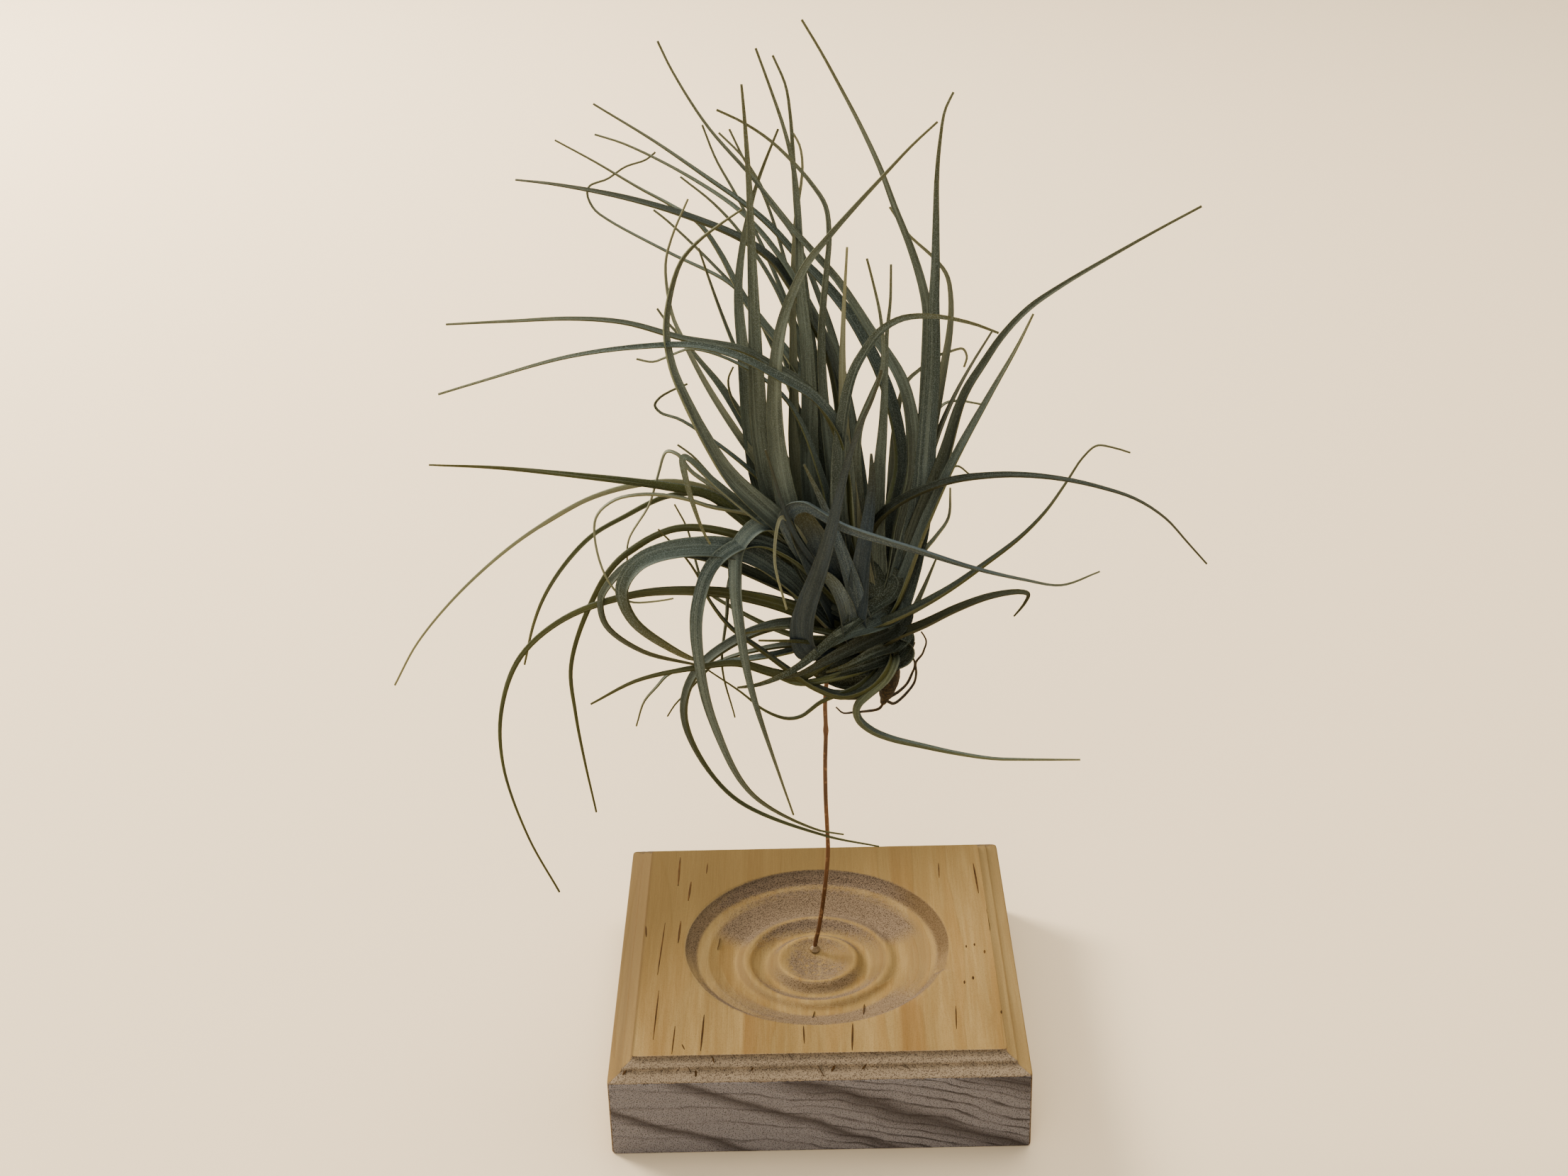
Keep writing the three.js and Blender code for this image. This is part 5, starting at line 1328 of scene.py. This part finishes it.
# %% Blades of the right side
BLADES |= {
    "right_tall_left": Blade(0.35, 4.9, -10, (1, 5, -4), [
        (1262, 860), (1285, 780), (1300, 690), (1306, 600), (1309, 500), (1309, 437), (1300, 393),
        (1284, 344), (1264, 295), (1242, 237), (1215, 179), (1184, 120), (1157, 71),
        (1131, 28)], 1.49),
    "right_tall": Blade(0.4, 7, -15, (-2, -2, 2), [
        (1262, 850), (1290, 760), (1302, 700), (1310, 600), (1317, 500), (1318, 424), (1320, 380),
        (1321, 312), (1322, 250), (1326, 201), (1333, 156), (1345, 130)], 1.36),
    "right_bowed": Blade(0.45, 5, -20, (4, 10, 14), [
        (1262, 840), (1292, 750), (1310, 640), (1333, 513), (1340, 469), (1342, 424), (1336, 388),
        (1318, 364), (1281, 330), (1255, 292)], 1.47),
    "right_curl": Blade(0.75, 3.4, 0, (4, 12, 14), [
        (1245, 820), (1255, 720), (1263, 600), (1278, 540), (1300, 519), (1320, 503), (1340, 496),
        (1358, 492), (1364, 503), (1360, 518)], 1.55),
    "right_long": Blade(0.4, 5.9, -40, (-2, -6, -16), [
        (1265, 840), (1300, 740), (1330, 660), (1362, 558), (1389, 513), (1416, 473), (1452, 435),
        (1496, 404), (1563, 364), (1630, 326), (1695, 291)], 1.79),
    "right_near": Blade(0.4, 5.1, -60, (-4, -12, -20), [
        (1265, 850), (1308, 740), (1348, 650), (1398, 556), (1434, 491), (1457, 443)], 1.11),
    "right_far": Blade(0.5, 4.6, -40, (4, 10, 18), [
        (1262, 830), (1292, 720), (1325, 610), (1347, 558), (1371, 513), (1400, 466)], 1.5),
    "right_curve": Blade(0.6, 3, -40, (5, 14, 18), [
        (1255, 820), (1275, 730), (1300, 620), (1330, 571), (1350, 565), (1385, 570)], 1.4),
    "right_arch": Blade(0.6, 4.2, -60, (2, -20, -26), [
        (1235, 830), (1225, 780), (1236, 741), (1270, 710), (1333, 682), (1396, 672), (1445, 671),
        (1498, 676), (1551, 687), (1603, 704), (1645, 731), (1677, 766), (1703, 795)], 1.57),
    "right_rising": Blade(0.15, 4.4, -70, (-8, -14, -20), [
        (1215, 900), (1250, 880), (1284, 864), (1340, 832), (1389, 797), (1438, 759), (1474, 722),
        (1505, 678), (1526, 646), (1547, 628), (1572, 631), (1595, 638)], 1.74),
    "right_bent": Blade(0.2, 3.4, -60, (-5, -8, -10), [
        (1245, 912), (1267, 899), (1305, 883), (1347, 862), (1396, 843), (1438, 836), (1450, 839),
        (1445, 852), (1431, 870)], 0.69),
    "right_lowest": Blade(0.1, 4, -80, (-6, -12, -14), [
        (1256, 938), (1245, 957), (1225, 975), (1210, 990), (1206, 1003), (1211, 1018),
        (1228, 1032), (1255, 1043), (1300, 1053), (1350, 1063), (1400, 1070), (1440, 1071),
        (1524, 1071)], 1.31),
    "right_edge": Blade(0.35, 2.1, -40, (4, 10, 14), [
        (1262, 850), (1298, 785), (1322, 755), (1338, 730), (1340, 688)], 1.1),
    "right_stub": Blade(0.45, 2.6, -40, (6, 16, 20), [
        (1262, 830), (1300, 720), (1330, 672), (1350, 657), (1372, 672)], 1.5),
    "right_spur": Blade(0.25, 2.3, -40, (4, 6, 8), [
        (1262, 890), (1288, 862), (1300, 838), (1320, 789)], 1.06),
}
print(len(BLADES), "blades so far")

# %% [markdown]
# The far side can't be seen, so its blades follow the sight lines of the blades before them,
# further back, narrower and shorter. Some blades also stand out from the rest by their tone:
# bluer with scales; deeper olive, which at the wrapped foot is partly painted shade; painted
# lighter, as painted light; painted darker, as painted shade where they face the viewer square
# on; browner; or painted lighter still, as painted light on the palest threads. A blade may be in
# more than one of these sets.

# %% Blades behind, and tones that stand out
FAR_BLADES = {  # depth at the tip, and share of the near blade's line
    "left_falling": (38, 0.62), "left_hanging": (44, 0.5), "left_level": (52, 0.6),
    "arch_high": (46, 0.62), "arch_low": (58, 0.55), "fan_1": (50, 0.7), "fan_5": (54, 0.72),
    "upright_1": (40, 0.66), "crossing": (50, 0.6), "right_tall": (42, 0.7),
    "right_long": (44, 0.68), "right_arch": (36, 0.6), "right_rising": (38, 0.58),
    "middle_tall": (34, 0.8), "left_hook_wide": (36, 0.5), "right_tall_left": (58, 0.6),
}
TONES = {}
TONES["slate"] = {
    "front", "heart_thumb", "heart_left", "heart_short", "heart_point", "scroll_base", "scroll",
}
# Deeper olive, which on the wrapped bases at the foot is also painted shade
TONES["olive_and_shade"] = {
    "wrap_front", "wrap_bowl", "wrap_foot", "wrap_inner", "wrap_low", "wrap_hollow", "wrap_broad",
    "wrap_middle", "wrap_high", "right_bent", "right_arch", "right_far",
}
# Painted light: these blades are made paler
TONES["pale"] = {
    "upright_1", "upright_2", "upright_3", "upright_4", "upright_5", "fan_2", "fan_3", "fan_5",
    "fan_back", "fan_back_thin", "fan_thin", "fan_fine", "fan_drop", "fan_loop", "fan_thread",
    "big_loop", "thin_loop", "thread_loop", "thread_falling", "heart_thread", "left_falling",
    "left_short", "left_folded", "right_spur", "right_bowed", "right_curl", "right_tall_left",
    "right_edge", "right_lowest", "middle_right", "middle_tall", "middle_bent", "olive_broad",
    "hooked", "curl_small", "crossing",
}
# Painted shade: blades that face the viewer square on are darker
TONES["dull"] = {
    "front", "heart_short", "heart_point", "right_far", "right_bent", "right_arch", "fan_1",
    "wrap_front", "wrap_bowl",
}
TONES["warm"] = {
    "left_lowest", "left_hook_thin", "left_hanging", "low_left_short", "low_left_long",
    "low_bow", "low_rising", "right_long", "right_far", "right_bent", "right_rising",
    "arch_high", "wrap_thread",
}
# Painted light: the brightest set, mostly thin threads
TONES["bright"] = {
    "right_spur", "right_edge", "right_bowed", "right_curl", "heart_thread", "left_falling",
    "thread_falling", "thread_loop", "thin_loop", "middle_tall", "upright_4",
}
print(len(BLADES), "traced blades and", len(FAR_BLADES), "behind them")

# %% [markdown]
# A path needs more than points. Each one also carries the way that the blade's upper face looks,
# turned from the viewer by a chosen angle two fifths of the way along and carried from there to
# both ends without twisting. Points lie closer together where the path bends. All of it is
# stored on the path as named attributes, which the Geometry Nodes tree then reads.

# %% Blade paths
FACE_SHARE = 0.4  # of a blade's length, where its face is turned by the chosen angle
HALF_SHARE = 0.45  # of its length, where its middle depth holds
STEP = 2.4  # millimetres between a straight blade's sections
BEND_STEP = 8.0  # millimetres of straight blade that one radian of bend counts as
FINE_STATIONS = 300
FAR_WIDTH = 0.85
FAR_HALF_DEPTH = 0.55
FAR_START = 4  # millimetres behind the middle, where a far blade leaves the stem


def far_blade(name):
    """The blade behind a traced one."""
    deep, share = FAR_BLADES[name]
    near = BLADES[name]
    kept = max(4, math.floor(share * len(near.line) + 0.5))
    return Blade(near.stem, FAR_WIDTH * near.wide, near.face / 2,
                 (FAR_START, FAR_HALF_DEPTH * deep, deep), near.line[:kept])


def blade_midline(blade):
    """A traced blade's midline in space, from inside the stem to its tip."""
    flat = np.array(blade.line, float)
    run = np.concatenate([[0], np.cumsum(np.hypot(*np.diff(flat, axis=0).T))])
    deep = np.interp(run, [0, HALF_SHARE * run[-1], run[-1]], blade.depth)
    root = stem_line[round(blade.stem * (len(stem_line) - 1))]
    return through([root, *(spot(u, v, d) for (u, v), d in zip(flat, deep))], share=30)


def bent_spacing(line):
    """Shares of a line's length, closer together where it bends."""
    fine = spaced(line, np.linspace(0, 1, FINE_STATIONS))
    ways = np.diff(fine, axis=0)
    ways /= np.linalg.norm(ways, axis=1)[:, None]
    bend = np.arccos(np.clip((ways[1:] * ways[:-1]).sum(1), -1, 1))
    spent = run_along(fine) / MM
    spent[2:] += BEND_STEP * np.cumsum(bend)
    count = max(6, math.ceil(spent[-1] / STEP))
    stations = np.linspace(0, 1, FINE_STATIONS)
    return np.interp(np.linspace(0, spent[-1], count + 1), spent, stations)


def blade_path(blade):
    """A blade's points, their upper faces, and how far along each is, as a share and in metres."""
    line = blade_midline(blade)
    shares = bent_spacing(line)
    points = spaced(line, shares)
    ways = np.gradient(points, axis=0)
    ways = [Vector(w).normalized() for w in ways]
    shown = int(np.argmax(shares >= FACE_SHARE))
    to_eye = EYE - Vector(points[shown])
    to_eye = (to_eye - ways[shown] * to_eye.dot(ways[shown])).normalized()
    uppers = [None] * len(points)
    uppers[shown] = Matrix.Rotation(math.radians(blade.face), 3, ways[shown]) @ to_eye
    for start, end, step in ((shown, len(points) - 1, 1), (shown, 0, -1)):
        for i in range(start, end, step):
            carried = ways[i].rotation_difference(ways[i + step]) @ uppers[i]
            carried = carried - ways[i + step] * carried.dot(ways[i + step])
            uppers[i + step] = carried.normalized()
    run = run_along(points)
    return points, np.array(uppers), run / run[-1], run


def paths_of(name, blades):
    """One mesh with the paths of many blades, and what the blade tree and the finish read."""
    lines, uppers, alongs, runs, wides, tapers, numbers = [], [], [], [], [], [], []
    tones = {tone: [] for tone in TONES}
    for number, (blade_name, blade) in enumerate(blades.items()):
        points, upper, along, run = blade_path(blade)
        lines.append(points)
        uppers.append(upper)
        alongs.append(along)
        runs.append(run)
        wides.append(np.full(len(points), blade.wide * MM))
        tapers.append(np.full(len(points), blade.taper))
        numbers.append(np.full(len(points), float(number)))
        for tone, members in TONES.items():
            tones[tone].append(np.full(len(points), float(blade_name in members)))
    print(name, "has", len(lines), "paths and", sum(map(len, lines)), "points")
    return path_mesh(name, lines, {
        "upper": uppers, "along": alongs, "reach": runs, "wide": wides, "taper": tapers,
        "number": numbers, **tones})


near_paths = paths_of("blade paths", BLADES)
far_paths = paths_of("far paths", {name: far_blade(name) for name in FAR_BLADES})

# %% [markdown]
# The blade tree turns each path into a channelled blade with a keel. A circle is swept along the
# path only to get a closed skin with the right number of points; every point is then put where
# the section wants it: sideways by half the width, up by the channel's curve, and down by the
# thickness on the lower side. The width follows one rule for all blades, widest just outside the
# sheath and drawn out to a thread, and a little noise makes the edges wander as real ones do.

# %% Sizes of a blade along its path
TIP_WIDTH = 0.47
BLADE_THICK = 0.62
TIP_THICK = 0.3
blade_tree, given, result = new_tree(
    "blades along paths", "GeometryNodeTree",
    [("Paths", "Geometry", None), ("Tip Width", "Float", TIP_WIDTH * MM),
     ("Thickness", "Float", BLADE_THICK * MM), ("Tip Thickness", "Float", TIP_THICK * MM),
     ("Sheath Share", "Float", 0.1), ("Sheath Width", "Float", 0.9), ("Trough", "Float", 0.36),
     ("Section Points", "Int", 16), ("Ripple", "Float", 0.08), ("Roll", "Float", 0.25),
     ("Seed", "Float", 7.0), ("Finish", "Material", None)],
    [("Blades", "Geometry")])


def read(tree, name, kind="FLOAT"):
    """A named attribute of the mesh or curve."""
    return add(tree, "GeometryNodeInputNamedAttribute", {"Name": name},
               data_type=kind).outputs["Attribute"]


def keep(tree, geometry, name, value, kind="FLOAT"):
    """The geometry with a value stored on it as a named attribute."""
    return add(tree, "GeometryNodeStoreNamedAttribute", {
        "Geometry": geometry, "Name": name, "Value": value},
        data_type=kind, domain="POINT").outputs["Geometry"]


along = read(blade_tree, "along")
left_over = maths(blade_tree, "SUBTRACT", 1.0, along)
sheath = add(blade_tree, "ShaderNodeMapRange", {
    "Value": along, "From Max": given["Sheath Share"], "To Min": given["Sheath Width"]},
    interpolation_type="SMOOTHSTEP").outputs["Result"]
ripple = add(blade_tree, "ShaderNodeTexNoise", {
    "W": given["Seed"], "Scale": 170.0, "Detail": 2.0}, noise_dimensions="4D")
rippled = maths(blade_tree, "ADD", 1.0, maths(
    blade_tree, "MULTIPLY", maths(blade_tree, "SUBTRACT", ripple.outputs["Fac"], 0.5),
    maths(blade_tree, "MULTIPLY", given["Ripple"], 2.0)))
narrowing = maths(blade_tree, "POWER", left_over, read(blade_tree, "taper"))
broad = product(blade_tree, read(blade_tree, "wide"), sheath, narrowing, rippled)
width = maths(blade_tree, "ADD", broad, given["Tip Width"])
thick = add(blade_tree, "ShaderNodeMapRange", {
    "Value": along, "To Min": given["Thickness"], "To Max": given["Tip Thickness"]})
print("a blade thins from", BLADE_THICK, "to", TIP_THICK, "mm")

# %% The turn of a blade, and its swept skin
blade_curve = add(blade_tree, "GeometryNodeMeshToCurve", {"Mesh": given["Paths"]})
heading = add(blade_tree, "GeometryNodeInputTangent").outputs["Tangent"]
middle_here = add(blade_tree, "GeometryNodeInputPosition").outputs["Position"]
roll_noise = add(blade_tree, "ShaderNodeTexNoise", {
    "W": read(blade_tree, "number"), "Scale": 22.0, "Detail": 0.0}, noise_dimensions="4D")
roll_angle = maths(blade_tree, "MULTIPLY", maths(
    blade_tree, "SUBTRACT", roll_noise.outputs["Fac"], 0.5), maths(
    blade_tree, "MULTIPLY", given["Roll"], 4.0))
rolled = add(blade_tree, "ShaderNodeVectorRotate", {
    "Vector": read(blade_tree, "upper", "FLOAT_VECTOR"), "Axis": heading, "Angle": roll_angle})
upper_here = rolled.outputs["Vector"]
# Upper face times heading, so that the skin faces outward
sideways_here = vectors(blade_tree, "CROSS_PRODUCT", upper_here, heading)
marked = blade_curve.outputs["Curve"]
for label, value, kind in (
        ("blade_middle", middle_here, "FLOAT_VECTOR"), ("blade_upper", upper_here, "FLOAT_VECTOR"),
        ("blade_sideways", sideways_here, "FLOAT_VECTOR"), ("blade_width", width, "FLOAT"),
        ("blade_spread", broad, "FLOAT"), ("blade_thick", thick.outputs["Result"], "FLOAT")):
    marked = keep(blade_tree, marked, label, value, kind)

section = add(blade_tree, "GeometryNodeCurvePrimitiveCircle", {
    "Resolution": given["Section Points"], "Radius": 1.0}).outputs["Curve"]
section_parts = parts_of(
    blade_tree, add(blade_tree, "GeometryNodeInputPosition").outputs["Position"])
section = keep(blade_tree, section, "across", section_parts["X"])
section = keep(blade_tree, section, "side", section_parts["Y"])
blade_skin = add(blade_tree, "GeometryNodeCurveToMesh", {
    "Curve": marked, "Profile Curve": section, "Fill Caps": True})
print("blade tree has", len(blade_tree.nodes), "nodes so far")

# %% The section of a blade, and its points put in place
across = read(blade_tree, "across")
side = read(blade_tree, "side")
half_width = maths(blade_tree, "MULTIPLY", read(blade_tree, "blade_width"), 0.5)
channel = maths(blade_tree, "POWER", maths(blade_tree, "ABSOLUTE", across), 1.6)
channel = maths(blade_tree, "MULTIPLY", channel, maths(
    blade_tree, "MULTIPLY", read(blade_tree, "blade_spread"), given["Trough"]))
above = maths(blade_tree, "MULTIPLY", maths(blade_tree, "MAXIMUM", side, 0.0), 0.15)
below = maths(blade_tree, "MINIMUM", side, 0.0)
body_lift = maths(blade_tree, "MULTIPLY", maths(
    blade_tree, "ADD", above, below), read(blade_tree, "blade_thick"))
lift = maths(blade_tree, "ADD", channel, body_lift)
new_place = vectors(
    blade_tree, "ADD", read(blade_tree, "blade_middle", "FLOAT_VECTOR"),
    scaled(blade_tree, read(blade_tree, "blade_sideways", "FLOAT_VECTOR"),
           maths(blade_tree, "MULTIPLY", across, half_width)))
new_place = vectors(
    blade_tree, "ADD", new_place,
    scaled(blade_tree, read(blade_tree, "blade_upper", "FLOAT_VECTOR"), lift))
placed = add(blade_tree, "GeometryNodeSetPosition", {
    "Geometry": blade_skin.outputs["Mesh"], "Position": new_place}).outputs["Geometry"]
for label in ("blade_middle", "blade_upper", "blade_sideways", "blade_spread", "blade_thick",
              "upper", "taper"):
    placed = add(blade_tree, "GeometryNodeRemoveAttribute", {
        "Geometry": placed, "Name": label}).outputs["Geometry"]
whole = add(blade_tree, "GeometryNodeRealizeInstances", {"Geometry": placed})
blades_done = add(blade_tree, "GeometryNodeSetMaterial", {
    "Geometry": whole.outputs["Geometry"], "Material": given["Finish"]})
blade_tree.links.new(blades_done.outputs["Geometry"], result["Blades"])
print("blade tree has", len(blade_tree.nodes), "nodes")

# %% [markdown]
# A leaf of this plant is dark grey green on its upper face, with a pale bloom of tiny scales,
# olive on its keel and its thin edges, and olive brown at its thread-like tip. Fine veins run
# the whole length. The attributes that the tree left on the skin say how far across and along
# each point is, so the pattern follows every blade however it bends, and a number for each blade
# gives it a tone of its own.

# %% Veins, ribs and scales of the leaf
leaf, tree, shader = finish_named("dark leaf")
across = attribute(tree, "across")
along = attribute(tree, "along")
side = attribute(tree, "side")
number = attribute(tree, "number")
sideways = maths(tree, "MULTIPLY", across, attribute(tree, "blade_width"))
leaf_place = add(tree, "ShaderNodeCombineXYZ", {
    "X": sideways, "Y": attribute(tree, "reach"),
    "Z": maths(tree, "MULTIPLY", number, 0.37)}).outputs[0]
veins = use_group(tree, fibres, {
    "Vector": leaf_place, "Stretch": (1, 0.03, 1), "Scale": 2200.0, "Bend": 0.1})
ribs = use_group(tree, fibres, {
    "Vector": leaf_place, "Stretch": (1, 0.012, 1), "Scale": 850.0, "Bend": 0.0})
clouds = use_group(tree, fibres, {
    "Vector": leaf_place, "Stretch": (1, 0.35, 1), "Scale": 1300.0})
scales = use_group(tree, specks, {
    "Vector": object_place(tree), "Scale": 5200.0, "Rarity": 0.5})["Mask"]
own_tone = maths(tree, "FRACT", maths(tree, "MULTIPLY", number, 0.618))
print("leaf tree has", len(tree.nodes), "nodes so far")

# %% [markdown]
# The colours go from the broad to the fine: both faces first, then the tone of the blade's set,
# the clouds and veins, the pale ribs, the edge, the tip and the bloom. The painted shade of the
# darker set, the browner tone and the painted light of the brightest set come last, over all of it.

# %% Colours of the leaf
tones = {tone: attribute(tree, tone) for tone in TONES}
lower_side = rise(tree, side, -0.05, -0.4)
upper_colour = tinted(
    tree, blend(tree, own_tone, paint("#414b48"), paint("#596461")),
    (rise(tree, along, 0.3, 0.85), 0.4, "#525640"))
under_colour = blend(tree, own_tone, paint("#454a2b"), paint("#5c603a"))
plainer = maths(tree, "SUBTRACT", 1.0, maths(tree, "MULTIPLY", tones["slate"], 0.6))
pale_lines = maths(tree, "MULTIPLY", rise(tree, ribs["Streaks"], 0.55, 1.0), 0.32)
bloom = maths(tree, "SUBTRACT", 0.34, maths(tree, "MULTIPLY", lower_side, 0.2))
leaf_colour = tinted(
    tree, blend(tree, lower_side, upper_colour, under_colour),
    (tones["slate"], 0.9, "#4c5861"),
    # Olive tone, partly painted shade at the foot
    (tones["olive_and_shade"], 0.75, "#2b2d15"),
    # Painted light for the paler set
    (tones["pale"], 0.42, "#7b8271"),
    (clouds["Broad"], 0.42, "#31362a"),
    (veins["Streaks"], 0.45, "#23261b"),
    (pale_lines, plainer, "#7d867c"),
    (rise(tree, maths(tree, "ABSOLUTE", across), 0.90, 0.995), 0.3, "#5f6042"),
    (rise(tree, along, 0.7, 1.0), 0.7, "#57532f"),
    (scales, bloom, "#7c8580"),
)
# Painted shade laid over the darker set
dull_colour = blend(tree, tones["slate"], paint("#26261e"), paint("#20272b"))
leaf_colour = blend(tree, product(tree, tones["dull"], 0.45), leaf_colour, dull_colour)
# The browner tone, then painted light for the brightest set
leaf_colour = tinted(
    tree, leaf_colour, (tones["warm"], 0.4, "#3d3c24"), (tones["bright"], 0.3, "#97957a"))
tree.links.new(leaf_colour, shader.inputs["Base Color"])
print("the leaf has", len(tones), "sets of blades with a tone of their own")

# %% Roughness and relief of the leaf
tree.links.new(plus(tree, 0.6, scales, 0.2), shader.inputs["Roughness"])
vein_bump = raised(tree, veins["Streaks"], -0.05)
rib_bump = raised(tree, ribs["Streaks"], 0.06, under=vein_bump)
scale_bump = raised(tree, scales, 0.015, under=rib_bump)
tree.links.new(scale_bump, shader.inputs["Normal"])
shader.inputs["Specular IOR Level"].default_value = 0.15
print("leaf tree has", len(tree.nodes), "nodes")

# %% Grow the blades
blades = grow("leaf_blades", near_paths, blade_tree, {
    "Tip Width": TIP_WIDTH * MM, "Thickness": BLADE_THICK * MM,
    "Tip Thickness": TIP_THICK * MM, "Finish": leaf})
blades.data.shade_smooth()
far_blades = grow("leaf_blades_behind", far_paths, blade_tree, {
    "Tip Width": TIP_WIDTH * MM, "Thickness": BLADE_THICK * MM,
    "Tip Thickness": TIP_THICK * MM, "Seed": 19.0, "Finish": leaf})
far_blades.data.shade_smooth()
seat(blades, "leaf", "leaf_rosette")
seat(far_blades, "leaf")

# %% [markdown]
# The stem is hidden by the blades' bases, but its outline fills the heart of the plant, so that
# no light shows through. It is a bar that swells and closes, skinned with the same finish.

# %% The stem
STEM_STATIONS = 60
STEM_FIT = 0.92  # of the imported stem's radii, because unevenness pushes the skin out in places
stem_shares = np.linspace(0, 1, STEM_STATIONS)
stem_points = spaced(stem_line, stem_shares)
stem_sizes = np.interp(stem_shares, np.linspace(0, 1, len(STEM_RADII)), STEM_RADII) * MM
stem_path = path_mesh("stem path", [stem_points], {
    "radius_here": [STEM_FIT * stem_sizes], "along": [0.2 * stem_shares],
    "reach": [run_along(stem_points)], "blade_width": [stem_sizes],
    # The stem takes the olive tone, partly painted shade
    "side": [np.full(STEM_STATIONS, 1.0)], "olive_and_shade": [np.full(STEM_STATIONS, 1.0)],
    "number": [np.full(STEM_STATIONS, 3.0)]})
stem = grow("leaf_stem", stem_path, bar_tree, {
    "Sides": 36, "Unevenness": 2.2 * MM, "Seed": 5.0, "Finish": leaf})
stem.data.shade_smooth()
seat(stem, "leaf")

# %% [markdown]
# Under the stem the old foot of the plant has dried to a brown stump, ragged and fibrous, with a
# few thin roots that loop back up. The stump is a bar roughened along its length, and the roots
# are the same tree again with paths that wander a little.

# %% Lines of the stump and its roots
STUMP_LINE = [(1254, 942.5), (1254, 955), (1251, 970), (1248, 984), (1246, 992)]
STUMP_RADII = [2.3, 2.3, 2.1, 1.3, 0.6]
STUMP_STATIONS = 40
STUMP_FIT = 0.97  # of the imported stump's radii
ROOT_RADIUS = 0.3
ROOTS = [
    [(1249, 988, 0), (1240, 999, 1), (1220, 1004, 2), (1202, 1006, 3), (1190, 1007, 4),
     (1180, 998, 5)],
    [(1250, 989, 1), (1262, 991, 3), (1275, 981, 5), (1287, 966, 6), (1293, 950, 6),
     (1292, 935, 6), (1302, 920, 7), (1307, 905, 7), (1300, 892, 7)],
    [(1252, 986, 0), (1268, 975, 3), (1282, 959, 4), (1290, 944, 4), (1290, 933, 4),
     (1286, 922, 4), (1291, 906, 5)],
]
WANDER_SCALE = 260
WANDER = 0.35
WANDER_START = 6  # points over which a root starts to wander
WANDER_SEED = 2  # without one, noise vectors differ from run to run
print("stump with", len(ROOTS), "roots")

# %% The dry finish
bark, tree, shader = finish_named("dry fibre")
place = object_place(tree)
strands = use_group(tree, fibres, {
    "Vector": place, "Stretch": (1, 1, 0.12), "Scale": 2400.0, "Bend": 0.8})
crumbs = use_group(tree, specks, {"Vector": place, "Scale": 1800.0, "Rarity": 0.5})["Mask"]
bark_colour = tinted(
    tree, blend(tree, strands["Broad"], paint("#3b301c"), paint("#241d10")),
    (strands["Streaks"], 0.55, "#17120a"), (crumbs, 0.4, "#574528"))
tree.links.new(bark_colour, shader.inputs["Base Color"])
shader.inputs["Roughness"].default_value = 0.85
strand_bump = raised(tree, strands["Streaks"], -0.12)
tree.links.new(raised(tree, crumbs, 0.06, under=strand_bump), shader.inputs["Normal"])
print("dry tree has", len(tree.nodes), "nodes")

# %% The stump and its roots in place
stump_shares = np.linspace(0, 1, STUMP_STATIONS)
stump_points = spaced(through([spot(u, v, 0) for u, v in STUMP_LINE]), stump_shares)
stump_sizes = np.interp(stump_shares, np.linspace(0, 1, len(STUMP_RADII)), STUMP_RADII) * MM
stump = grow("dry_stump_fibre", path_mesh("stump path", [stump_points], {
    "radius_here": [stump_sizes * STUMP_FIT]}), bar_tree, {
    "Sides": 28, "Unevenness": 0.9 * MM, "Seed": 11.0, "Finish": bark})
stump.data.shade_smooth()
root_lines = []
noise.seed_set(WANDER_SEED)
for root in ROOTS:
    line = through([spot(*here) for here in root], share=8)
    for i, point in enumerate(line):
        wander = noise.noise_vector(Vector(point) * WANDER_SCALE)
        line[i] = point + np.array(wander) * WANDER * MM * min(1, i / WANDER_START)
    root_lines.append(line)
root_sizes = [ROOT_RADIUS * MM * np.linspace(1.15, 0.6, len(line)) for line in root_lines]
roots = grow("dry_roots", path_mesh("root paths", root_lines, {"radius_here": root_sizes}),
             bar_tree, {"Sides": 8, "Unevenness": 0.12 * MM, "Seed": 2.0, "Finish": bark})
roots.data.shade_smooth()
seat(stump, "dry_brown", "dry_stump")
seat(roots, "dry_brown")

# %% [markdown]
# Last, the sizes. The box of the dressed piece is printed beside the box of the imported one.
# Looks may not change what the imported part measures.

# %% Print the sizes
dressed_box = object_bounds()
sizes = {
    "cad": [list(cad_box[0]), list(cad_box[1])],
    "visual": [list(dressed_box[0]), list(dressed_box[1])],
}
for label, (low, high) in sizes.items():
    print(label, [round(1000 * n, 1) for n in low], [round(1000 * n, 1) for n in high])
